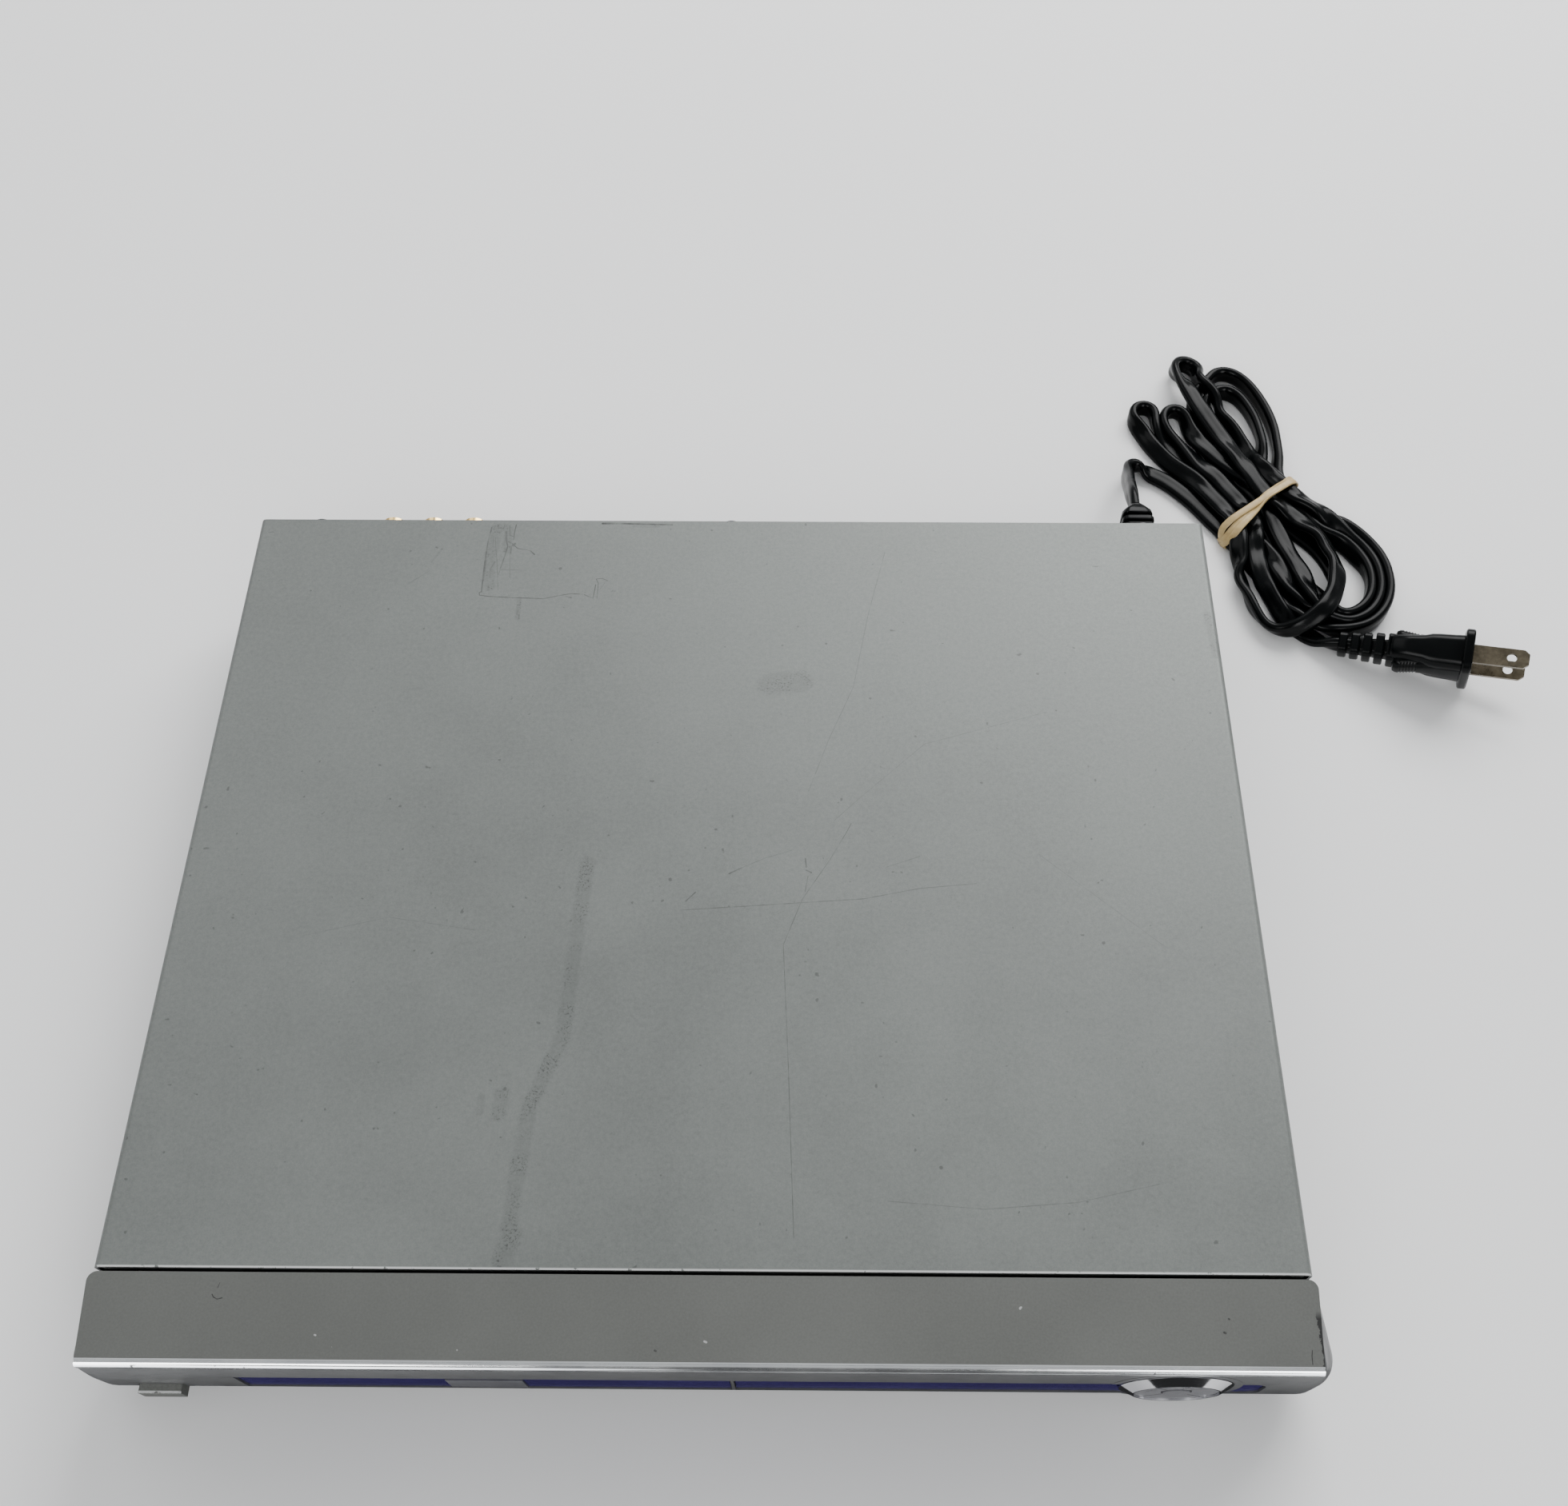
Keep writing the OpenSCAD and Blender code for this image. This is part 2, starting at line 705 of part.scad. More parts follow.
module dial_ring() {
    color("gainsboro") at_home() translate([dial_x, 0, dial_z]) rotate([90, 0, 0]) difference() {
        union() {
            translate([0, 0, -ring_back]) cylinder(r = dial_r - slip, h = ring_back - ring_base);
            translate([0, 0, -ring_base]) cylinder(r1 = dial_r, r2 = dial_in_r + 0.4, h = 1.7);
            intersection() {
                translate([0, 0, -ring_back]) cylinder(r = flange_r, h = 0.8);
                translate([0, 0, -ring_back]) cube([2 * flange_r, 2 * ring_flat, 3], center = true);
            }
        }
        translate([0, 0, -ring_back + 1.2]) cylinder(r = dial_in_r, h = 20);
        for (p = key_spots()) translate([p[0], p[1], -ring_back - 1]) cylinder(r = 1.5, h = 4);
    }
}

function key_spots() = concat([[0, 0]], [for (a = [0, 90, 180, 270]) on_circle(7.4, a)]);

// One key: the cap between the dial's rim and the middle key, and its stem
module sector_key(turn) {
    at_home() translate([dial_x, 0, dial_z]) rotate([90, 0, 0]) rotate(turn) {
        intersection() {
            translate([0, 0, -key_face - 3]) difference() {
                cylinder(r = key_r, h = 3);
                translate([0, 0, -1]) cylinder(r = center_r + key_gap, h = 5);
            }
            translate([key_gap * 0.71, 0, -key_face - 4]) rotate(-45) cube([20, 20, 6]);
        }
        key_stem(7.4);
    }
}

module key_stem(x) {
    translate([x, 0, -key_tip]) cylinder(r = 1.2, h = -key_face - 1 + key_tip);
}

module open_key() {
    color("lightsteelblue") at_home() translate([dial_x, 0, dial_z]) rotate([90, 0, 0]) {
        translate([0, 0, -key_face - 3]) cylinder(r = center_r, h = 3.3);
        key_stem(0);
    }
}

module next_key() {
    color("lightgray") sector_key(0);
}

module play_key() {
    color("lightgray") sector_key(90);
}

module previous_key() {
    color("lightgray") sector_key(180);
}

module stop_key() {
    color("lightgray") sector_key(270);
}

module key_board() {
    color("darkgreen") at_home() difference() {
        block(window_x0 + 5, dial_x + 31, board_y, board_y + board_t, foot_h + 3, plate_z - 3.2);
        for (p = board_pins_high()) pin_y(p, board_y - 1, board_y + 3, board_high_z, 1.2);
        for (p = board_pins_low()) pin_y(p, board_y - 1, board_y + 3, board_low_z, 1.2);
    }
}

module key_switches() {
    color("black") at_home() for (p = key_spots()) translate([dial_x + p[0], board_y, dial_z + p[1]])
        rotate([90, 0, 0]) {
            translate([-2.4, -2.4, 0]) cube([4.8, 4.8, 2.4]);
            cylinder(r = 1.3, h = switch_d);
        }
}

module display_module() {
    x0 = window_x0 + 17;
    digit_w = 7;
    color("darkslategray") at_home() difference() {
        block(x0, x0 + 64, face_y + 4.4, board_y, door_z + 0.5, door_z + door_h - 0.5);
        for (i = [0 : 4]) block(x0 + 6 + i * 11, x0 + 6 + digit_w + i * 11, face_y + 4, face_y + 4.8,
            door_z + 3, door_z + door_h - 3);
    }
}

/* ---- Tray and loader ---- */

module disc_tray() {
    color("darkgray") at_home() difference() {
        union() {
            block(tray_x - tray_w / 2, tray_x + tray_w / 2, tray_front, tray_back, well_z - floor_t, rim_z);
            for (s = [-1, 1]) block(tray_x + s * (tray_w / 2 - 2) - 2, tray_x + s * (tray_w / 2 - 2) + 2,
                tray_front, tray_back, rail_z, well_z);
            translate([rack_x, gear_y, rib_z])
                rack(rack_module, tray_front - gear_y, tray_back - gear_y, well_z - floor_t - rib_z + 0.5);
        }
        pin_z(tray_x, spindle_y, well_z, rim_z + 1, well_d / 2);
        pin_z(tray_x, spindle_y, well_z - 0.8, rim_z + 1, small_well_d / 2);
        pin_z(tray_x, spindle_y, rail_z - 5, rim_z + 1, slot_x);
        block(tray_x - slot_x, tray_x + slot_x, spindle_y, tray_back + 1, rail_z - 5, rim_z + 1);
        for (s = [-1, 1]) block(tray_x + s * 40 - 18, tray_x + s * 40 + 18, spindle_y + well_d / 2 + 4,
            tray_back - 4, well_z, rim_z + 1);
    }
}

module loader_frame() {
    top_plate_z = pulley_z + pulley_h + 0.6;
    wall_x = tray_x + frame_x;
    bay_x = motor_x + motor_r + 1.8;
    color("black") at_home() difference() {
        union() {
            difference() {
                block(tray_x - frame_x - frame_t, wall_x + frame_t, frame_front, frame_back,
                    frame_floor, frame_top);
                block(tray_x - frame_x, wall_x, frame_front - 1, frame_back - frame_t,
                    frame_floor + frame_floor_t, frame_top + 1);
                block(tray_x - frame_x + 11, wall_x - 11, bay_front, (deck_back + frame_back) / 2 - 8,
                    frame_floor - 1, frame_floor + 3);
            }
            for (s = [-1, 1]) {
                side_block(s, frame_x - ledge_w, frame_x + 1, frame_front, frame_back,
                    rail_z - 2.2, rail_z - slip);
                side_block(s, frame_x - 3, frame_x + 1, frame_front, frame_back,
                    rim_z + slip, rim_z + 1.7);
                side_block(s, deck_x + 2, deck_x + 7.2, hinge_y - 4, hinge_y + 4,
                    frame_floor, hinge_z + 3.6);
                side_block(s, deck_x + 2, frame_x - 10, hinge_y - 6, hinge_y + 6,
                    frame_floor, frame_floor + frame_floor_t);
            }
            block(wall_x, bay_x, frame_front, bay_front, frame_floor, frame_floor + frame_floor_t);
            block(wall_x + 1, bay_x, frame_front, bay_front, top_plate_z, top_plate_z + 1.2);
            block(bay_x - 1.4, bay_x, frame_front, bay_front, frame_floor, top_plate_z + 1);
            for (x = [tray_gear_x, pulley_gear_x]) {
                pin_z(x, gear_y, frame_floor, pulley_z + pulley_h, post_r);
                pin_z(x, gear_y, frame_floor, low_gear_z - 0.1, post_r + 1.5);
            }
        }
        block(pulley_gear_x, motor_x, gear_y - pulley_r - 2, gear_y + pulley_r + 2,
            pulley_z - 0.4, pulley_z + pulley_h + 0.4);
        pin_z(motor_x, gear_y, pulley_z, frame_top, 3.2);
        for (s = [-1, 1]) {
            pin_x(tray_x + s * (deck_x + 4.6) - 4, tray_x + s * (deck_x + 4.6) + 4, hinge_y, hinge_z,
                hinge_pin_r + fit);
            for (y = [lug_front, lug_back])
                pin_z(tray_x + s * lug_x, y, frame_floor - 1, frame_floor + 2, screw_r + slip);
        }
    }
}

// A block on one side of the tray's middle, or its mirror image on the other
module side_block(s, x0, x1, y0, y1, z0, z1) {
    block(tray_x + (s > 0 ? x0 : -x1), tray_x + (s > 0 ? x1 : -x0), y0, y1, z0, z1);
}

module loading_motor() {
    z0 = pulley_z + pulley_h + 1.8;
    color("silver") at_home() {
        pin_z(motor_x, gear_y, z0, z0 + 14, motor_r);
        pin_z(motor_x, gear_y, z0 - 1.2, z0, 3);
        pin_z(motor_x, gear_y, z0 + 14, z0 + 15.5, 3.5);
        pin_z(motor_x, gear_y, pulley_z + 0.4, z0, 1);
    }
}

module pulley_groove(r, z) {
    translate([0, 0, z]) rotate_extrude() difference() {
        translate([r - 0.01, 0.7]) square([3, 1.2]);
        square([0.1, 0.1]);
    }
}

module motor_pulley() {
    color("white") at_home() translate([motor_x, gear_y, pulley_z]) difference() {
        cylinder(r = motor_pulley_r + 0.8, h = pulley_h);
        pulley_groove(motor_pulley_r, 0);
        translate([0, 0, -1]) cylinder(r = 1 + fit, h = pulley_h + 2);
    }
}

module pulley_gear() {
    color("white") at_home() translate([pulley_gear_x, gear_y, 0]) difference() {
        union() {
            translate([0, 0, low_gear_z]) gear(gear_module, small_teeth, low_gear_h, 180 + 180 / small_teeth);
            translate([0, 0, low_gear_z + low_gear_h - 0.1]) cylinder(r = 3.2, h = 0.6);
            translate([0, 0, pulley_z]) difference() {
                cylinder(r = pulley_r + 0.75, h = pulley_h);
                pulley_groove(pulley_r, 0);
            }
        }
        translate([0, 0, low_gear_z - 1]) cylinder(r = post_r + fit, h = 12);
    }
}

// Belt loop: two arcs joined by straight runs
function belt_loop(grow) = let (
    r0 = pulley_r + 0.1 + grow,
    r1 = motor_pulley_r + 0.1 + grow,
    gap = motor_x - pulley_gear_x,
    lean = acos((r0 - r1) / gap)
) concat(
    [for (k = [0 : 24]) on_circle(r0, lean + k * (360 - 2 * lean) / 24)],
    [for (k = [0 : 12]) [gap, 0] + on_circle(r1, -lean + k * 2 * lean / 12)]
);

module drive_belt() {
    color("black") at_home() translate([pulley_gear_x, gear_y, pulley_z + 0.8]) linear_extrude(belt_t)
        difference() {
            polygon(belt_loop(0.55));
            polygon(belt_loop(0));
        }
}

module tray_gear() {
    color("ivory") at_home() translate([tray_gear_x, gear_y, 0]) difference() {
        union() {
            translate([0, 0, low_gear_z]) gear(gear_module, big_teeth, low_gear_h, 0);
            translate([0, 0, low_gear_z + low_gear_h - 0.1])
                cylinder(r = 5, h = high_gear_z - low_gear_z - low_gear_h + 0.2);
            translate([0, 0, high_gear_z]) gear(rack_module, rack_teeth, high_gear_h, 180);
        }
        translate([0, 0, low_gear_z - 1]) cylinder(r = post_r + fit, h = 12);
    }
}

module cam_slider() {
    slope = atan(cam_drop / cam_travel);
    run = cam_travel / cos(slope);
    slot_r = pin_r + 0.25;
    color("white") at_home() difference() {
        block(tray_x - deck_x - 4, tray_x + 30, cam_y - cam_t / 2, cam_y + cam_t / 2, base_z + play,
            hinge_z + slot_r + 0.9);
        for (x = cam_pin_x) translate([tray_x + x, cam_y + 5, hinge_z]) rotate([90, 0, 0])
            linear_extrude(10) rotate(180 + slope) {
                circle(slot_r);
                translate([run, 0]) circle(slot_r);
                translate([0, -slot_r]) square([run, 2 * slot_r]);
            }
    }
}

module traverse_deck() {
    color("dimgray") at_home() difference() {
        union() {
            block(tray_x - deck_x, tray_x + deck_x, deck_front, deck_back, deck_z, deck_z + deck_t);
            for (x = cam_pin_x) {
                pin_y(tray_x + x, cam_y - cam_t / 2 - 0.1, deck_front + 1, hinge_z, pin_r);
                pin_y(tray_x + x, deck_front - 1, deck_front + 2, hinge_z, 1.8);
            }
            for (s = [-1, 1]) {
                side_pin(s, deck_x - 1, deck_x + 7, hinge_y, hinge_z, hinge_pin_r);
                for (y = [rod_front, rod_back])
                    side_block(s, rod_x - 3, rod_x + 3, y - 2, y + 2, deck_z - 1.5, hinge_z + 2);
            }
            block(tray_x + screw_x - 3, tray_x + screw_x + 3, rod_front - 3, rod_front + 1,
                screw_z - 2, hinge_z + 1);
        }
        block(tray_x - rod_x - 4.5, tray_x + screw_x + 5, rod_front + 2, rod_back - 2,
            deck_z - 5, deck_z + 6);
        pin_z(tray_x, spindle_y, deck_z - 4, deck_z + 4, disc_motor_r + slip);
        for (s = [-1, 1]) pin_y(tray_x + s * rod_x, rod_front - 5, rod_back + 5, rod_z, rod_r + 0.02);
        pin_y(tray_x + screw_x, rod_front - 4, rod_front + 4, screw_z, 1 + fit);
    }
}

module side_pin(s, x0, x1, y, z, r) {
    pin_x(tray_x + (s > 0 ? x0 : -x1), tray_x + (s > 0 ? x1 : -x0), y, z, r);
}

module guide_rods() {
    color("lightgray") at_home() for (s = [-1, 1])
        pin_y(tray_x + s * rod_x, rod_front - 2, rod_back + 2, rod_z, rod_r);
}

module spindle_motor() {
    top = deck_z + deck_t;
    color("silver") at_home() translate([tray_x, spindle_y, 0]) {
        translate([0, 0, deck_z - 1.4]) cylinder(r = disc_motor_r, h = deck_t + 1.4);
        translate([0, 0, top]) cylinder(r = disc_motor_r + 2.4, h = 0.8);
        translate([0, 0, top]) cylinder(r = 8.5, h = 2);
        translate([0, 0, top + 2]) cylinder(r = 1, h = platter_z - top - 1.5);
    }
}

module turntable() {
    color("black") at_home() translate([tray_x, spindle_y, 0]) difference() {
        union() {
            translate([0, 0, deck_z + deck_t + 2.3])
                cylinder(r = platter_r, h = platter_z - deck_z - deck_t - 2.3);
            translate([0, 0, platter_z]) cylinder(r = hub_r, h = 1.2);
            translate([0, 0, platter_z + 1.2]) cylinder(r1 = hub_r, r2 = hub_r - 1.2, h = 0.8);
        }
        translate([0, 0, deck_z]) cylinder(r = 1 + fit, h = platter_z - deck_z + 0.8);
    }
}

module clamp_bridge() {
    w = frame_x + frame_t;
    half = 18;
    color("gainsboro") at_home() difference() {
        union() {
            side_block(1, -w, w, spindle_y - half, spindle_y + half, bridge_z, bridge_z + bridge_t);
            for (y = [-half, half - 1.4]) side_block(1, 6 - w, w - 6, spindle_y + y, spindle_y + y + 1.4,
                bridge_z, bridge_z + 4.5);
        }
        pin_z(tray_x, spindle_y, bridge_z - 1, bridge_z + 6, neck_r + 0.4);
    }
}

module clamp_puck() {
    color("darkslategray") at_home() translate([tray_x, spindle_y, 0]) difference() {
        union() {
            translate([0, 0, platter_z + play]) cylinder(r = puck_r, h = 3.4);
            translate([0, 0, platter_z + 3]) cylinder(r = neck_r, h = bridge_z + bridge_t - platter_z - 1);
            translate([0, 0, bridge_z + bridge_t + play]) cylinder(r = 12, h = 1.8);
        }
        translate([0, 0, platter_z - 1]) cylinder(r = hub_r + 0.6, h = 3.4);
    }
}

module pickup_sled() {
    top = rail_z + 0.9;
    back = sled_y + 12;
    front = sled_y - 6;
    color("darkgray") at_home() difference() {
        union() {
            side_block(1, -sled_x, sled_x, front, sled_y + 20, screw_z - 1.6, top);
            side_block(1, -11, 11, front, back, top - 0.1, well_z - 1.2);
            for (s = [-1, 1]) side_block(s, sled_x - 1, rod_x + 3, front, back, rod_z - 2.6, rod_z + 2.6);
            side_block(1, sled_x, screw_x + 3, sled_y + 2, sled_y + 8, screw_z - 2.6, screw_z + 2);
        }
        for (s = [-1, 1]) pin_y(tray_x + s * rod_x, sled_y - 20, sled_y + 20, rod_z, rod_r + fit);
        pin_y(tray_x + screw_x, sled_y - 20, sled_y + 20, screw_z, 1.5 + fit);
        pin_z(tray_x, sled_y, well_z - 3, well_z + 1, 2.2);
    }
}

module pickup_lens() {
    z0 = well_z - 1.2 + 0.6;
    color("skyblue") at_home() {
        block(tray_x - 5, tray_x + 5, sled_y - 5, sled_y + 5, z0, z0 + 0.8);
        pin_z(tray_x, sled_y, z0 + 0.8, z0 + 1.3, 2.6);
    }
}

module sled_motor() {
    color("silver") at_home() {
        pin_y(tray_x + screw_x, rod_back - 16, rod_back - 2, screw_z, sled_motor_r);
        pin_y(tray_x + screw_x, rod_back - 17.5, rod_back - 16, screw_z, 1);
    }
}

module lead_screw() {
    color("lightgray") at_home() {
        pin_y(tray_x + screw_x, rod_front + 2.3, rod_back - 18, screw_z, 1.5);
        pin_y(tray_x + screw_x, rod_front - 3, rod_front + 2.3, screw_z, 1);
    }
}

/* ---- Electronics ---- */

module main_board() {
    color("darkgreen") at_home() difference() {
        block(main_x0, main_x1, main_y0, main_y1, pcb_z, pcb_top);
        for (p = board_holes()) pin_z(p[0], p[1], pcb_z - 1, pcb_top + 1, screw_r + 0.1);
    }
}

module power_board() {
    color("peru") at_home() difference() {
        block(power_x0, power_x1, power_y0, main_y1, pcb_z, pcb_top);
        for (p = board_holes()) pin_z(p[0], p[1], pcb_z - 1, pcb_top + 1, screw_r + 0.1);
    }
}

module board_chips() {
    color("black") at_home() {
        for (c = concat(chips, [front_plug, loader_plug, power_plug])) on_main(c);
        translate([power_x0 + socket_at[0], main_y0 + socket_at[1], pcb_top])
            cube([socket[0], socket[1], power_plug[4]]);
    }
}

function main_x(c) = main_x0 + c[0] * (main_x1 - main_x0) / chips_for_w;

// A package given by its corner on the main board, its two sides and its height
module on_main(c) {
    translate([main_x(c), main_y0 + c[1], pcb_top]) cube([c[2], c[3], c[4]]);
}

module transformer() {
    color("khaki") at_home() translate([power_x0 + coil_at[0], power_y0 + coil_at[1], pcb_top]) {
        translate([0, 2, 0]) cube([coil[0], coil[1] - 4, 4]);
        translate([3, 0, 4]) cube([coil[0] - 6, coil[1], coil[2] - 6]);
        translate([0, 8, 4]) cube([coil[0], coil[1] - 16, coil[2] - 4]);
    }
}

module capacitors() {
    color("navy") at_home() {
        can(power_x0 + big_can_at[0], power_y0 + big_can_at[1], big_can);
        for (c = power_cans) can(power_x0 + c[0], power_y0 + c[1], power_can);
        for (c = small_cans) can(main_x(c), main_y0 + c[1], small_can);
    }
}

module can(x, y, size) {
    pin_z(x, y, pcb_top, pcb_top + size[1], size[0]);
}

module heat_sink() {
    color("silver") at_home() translate([power_x0 + sink_at[0], power_y0 + sink_at[1], pcb_top]) {
        cube([sink[0], 2, sink[2]]);
        for (i = [0 : 4]) translate([1 + i * (sink[0] - 4) / 4, 0, 0]) cube([1.5, sink[1], sink[2]]);
    }
}

// Two flat cables: each a strip of given width along X, its side outline drawn in Y and Z
module flat_cables() {
    t = 0.4;
    top = pcb_top + 5;
    y0 = main_y0 + 4;
    over = frame_top + 7;
    low = base_z + 0.4;
    color("white") at_home() {
        strip(loader_plug, [
            [y0, top], [y0, over], [frame_back + t, over], [frame_back + t, frame_top - 6],
            [frame_back, frame_top - 6], [frame_back, over + t], [y0 + t, over + t], [y0 + t, top]]);
        strip(front_plug, [
            [y0, top], [y0, top + 5], [y0 - 8, top + 5], [y0 - 8, low], [0.8, low], [0.8, base_z + 6],
            [-5, base_z + 6], [-5, dial_z - 5], [board_y + board_t, dial_z - 5],
            [board_y + board_t, dial_z - 5 + t], [-5 + t, dial_z - 5 + t], [-5 + t, base_z + 6 + t],
            [0.8 + t, base_z + 6 + t], [0.8 + t, low + t], [y0 - 8 - t, low + t],
            [y0 - 8 - t, top + 5 + t], [y0 + t, top + 5 + t], [y0 + t, top]]);
    }
}

module strip(plug, outline) {
    translate([main_x(plug), 0, 0]) rotate([90, 0, 90]) linear_extrude(plug[2]) polygon(outline);
}

module power_wires() {
    plug_y = main_y0 + power_plug[1];
    x0 = main_x(power_plug) + power_plug[2];
    color("crimson") at_home() {
        for (i = [0 : 2]) pin_x(x0, power_x0 + socket_at[0], plug_y + 1 + i * 2.2, pcb_top + 4, 0.8);
        for (s = [-1, 1]) {
            pin_y(cord_x + s * 2, main_y1 - 34, panel_y - 1, cord_z, wire_r);
            pin_z(cord_x + s * 2, main_y1 - 33, pcb_top, cord_z, wire_r);
        }
    }
}

module inner_screws() {
    color("gold") at_home() {
        for (s = [-1, 1], y = [lug_front, lug_back])
            screw_z(tray_x + s * lug_x, y, frame_floor + frame_floor_t, 3.6);
        for (p = board_holes()) screw_z(p[0], p[1], pcb_top, 6);
    }
}

module jack_block() {
    color("black") at_home() difference() {
        block(jack_cols[0] - 7, jack_cols[2] + 7, panel_y - 14, panel_y, pcb_top, jack_rows[1] + 7);
        for (x = jack_cols, z = jack_rows) pin_y(x, panel_y - 3, panel_y + 1, z, 4.6);
    }
}

module jack_shells() {
    color("gold") at_home() for (x = jack_cols, z = jack_rows) difference() {
        pin_y(x, panel_out + 1.4, rear_tip, z, jack_r);
        pin_y(x, panel_out, rear_tip + 1, z, jack_core_r + fit);
    }
}

module jack_core(x, z) {
    at_home() difference() {
        union() {
            pin_y(x, panel_y - 3, panel_out, z, 4.5);
            pin_y(x, panel_out, panel_out + 1.4, z, jack_flange_r);
            pin_y(x, panel_out, rear_tip - 0.6, z, jack_core_r);
        }
        pin_y(x, rear_tip - 7, rear_tip + 1, z, 1.65);
    }
}

module jack_yellow() {
    color("gold") jack_core(jack_cols[0], jack_rows[0]);
}

module jack_white() {
    color("white") {
        jack_core(jack_cols[1], jack_rows[0]);
        jack_core(jack_cols[1], jack_rows[1]);
    }
}

module jack_red() {
    color("red") {
        jack_core(jack_cols[2], jack_rows[0]);
        jack_core(jack_cols[2], jack_rows[1]);
        jack_core(jack_cols[0], jack_rows[1]);
    }
}

/* ---- Cord ---- */

module strain_relief() {
    color("black") at_home() translate([cord_x, 0, cord_z]) rotate([-90, 0, 0]) difference() {
        union() {
            translate([0, 0, panel_y - 3]) cylinder(r = gland_r, h = base_t + 4);
            translate([0, 0, panel_y - 3]) cylinder(r = gland_r + 1.4, h = 3);
            translate([0, 0, panel_out]) cylinder(r = gland_r + 1.4, h = 2.4);
            translate([0, 0, panel_out + 2]) cylinder(r1 = 4.9, r2 = 4.2, h = relief_l - 2);
            for (i = [0 : 3]) translate([0, 0, panel_out + relief_l * (0.2 + i * 0.2)])
                cylinder(r = 6 - i * 0.3, h = 2.6);
        }
        for (s = [-1, 1]) translate([s * 2, 0, panel_y - 8]) cylinder(r = wire_r + fit, h = 8);
    }
}

// Smooth curve through the route's points, and a tube swept along it
function spline(p, i, t) = let (
    a = p[max(i - 1, 0)], b = p[i], c = p[i + 1], d = p[min(i + 2, len(p) - 1)]
) 0.5 * (2 * b + (c - a) * t + (2 * a - 5 * b + 4 * c - d) * t * t + (3 * b - a - 3 * c + d) * t * t * t);
function along(p, n) = concat(
    [for (i = [0 : len(p) - 2], k = [0 : n - 1]) spline(p, i, k / n)], [p[len(p) - 1]]);
function unit(v) = v / norm(v);
function ring(c, dir, r, n) = let (
    side = unit(cross(dir, [0, 0, 1])),
    up = cross(side, dir)
) [for (k = [0 : n - 1]) c + r * (cos(k * 360 / n) * side + sin(k * 360 / n) * up)];

module tube(route, r, n) {
    line = along(route, 2);
    m = len(line);
    points = [for (i = [0 : m - 1])
        let (dir = unit(line[min(i + 1, m - 1)] - line[max(i - 1, 0)])) each ring(line[i], dir, r, n)];
    sides = [for (i = [0 : m - 2], k = [0 : n - 1])
        [i * n + k, i * n + (k + 1) % n, (i + 1) * n + (k + 1) % n, (i + 1) * n + k]];
    polyhedron(points = points, faces = concat(sides,
        [[for (k = [n - 1 : -1 : 0]) k]], [[for (k = [0 : n - 1]) (m - 1) * n + k]]));
}

module cord_lead() {
    color("black") tube(lead_route, cord_w / 2, lead_sides);
}

module hank_outline() {
    hull() {
        hank_waist();
        for (p = upper_loops) translate(p) circle(upper_r, $fn = 32);
    }
    hull() {
        hank_waist();
        for (p = lower_loops) translate(p) circle(lower_r, $fn = 32);
    }
    hull() {
        translate(lower_loops[1]) circle(lower_r, $fn = 32);
        translate(loop_end) circle(cord_w / 2, $fn = 32);
    }
}

module hank_waist() {
    translate(hank_mid) rotate(hank_turn) square([waist_l, waist_w], center = true);
}

// The space that the band takes up round the waist
module band_space(gap) {
    translate([hank_mid[0], hank_mid[1], 0]) rotate(hank_turn) difference() {
        translate([-band_w / 2 - gap, -waist_w / 2 - gap, -gap])
            cube([band_w + 2 * gap, waist_w + 2 * gap, hank_h + 2 * gap]);
        translate([-band_w, -waist_w / 2 + band_t, band_t])
            cube([2 * band_w, waist_w - 2 * band_t, hank_h - 2 * band_t]);
    }
}

module cord_hank() {
    color("black") difference() {
        linear_extrude(hank_h) hank_outline();
        band_space(0.1);
    }
}

module rubber_band() {
    color("tan") band_space(0);
}

module plug_body() {
    color("black") at_plug() {
        rotate([90, 0, 90]) linear_extrude(3) round_rect(2 * plug_wide, 2 * plug_high, 4);
        translate([-plug_l, 0, 0]) rotate([90, 0, 90]) linear_extrude(plug_l + 1) round_rect(11, 19, 4);
        translate([-plug_l - boot_l, 0, 0]) rotate([0, 90, 0]) cylinder(r = 3.9, h = boot_l + 1);
        for (i = [0 : 3]) translate([-plug_l - boot_l + 2.2 + i * 4.4, 0, 0])
            rotate([0, 90, 0]) cylinder(r = 4.8 + i * 0.3, h = 2.6);
    }
    color("silver") at_plug() for (s = [-1, 1]) translate([3, 0, s * blade_gap / 2]) difference() {
        translate([-1, -3.2, -0.75]) cube([blade_l + 1, 6.4, 1.5]);
        translate([blade_l - 5, 0, -2]) cylinder(r = 1.6, h = 4);
    }
}

module at_plug() {
    translate(plug_at) rotate(plug_turn) children();
}

top_cover();
chassis_base();
rear_panel();
rubber_feet();
front_bezel();
bezel_top_plate();
bezel_trim();
display_window();
sensor_window();
tray_door();
door_badge();
power_button();
dial_ring();
open_key();
play_key();
stop_key();
previous_key();
next_key();
key_board();
key_switches();
display_module();
power_switch();
loader_frame();
disc_tray();
loading_motor();
motor_pulley();
drive_belt();
pulley_gear();
tray_gear();
cam_slider();
traverse_deck();
guide_rods();
spindle_motor();
turntable();
clamp_bridge();
clamp_puck();
pickup_sled();
pickup_lens();
sled_motor();
lead_screw();
main_board();
board_chips();
power_board();
transformer();
capacitors();
heat_sink();
flat_cables();
power_wires();
jack_block();
jack_shells();
jack_yellow();
jack_white();
jack_red();
cover_screws();
inner_screws();
strain_relief();
cord_lead();
cord_hank();
rubber_band();
plug_body();
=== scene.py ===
import math

import bmesh
import bpy
import numpy as np
from mathutils import Matrix, Vector


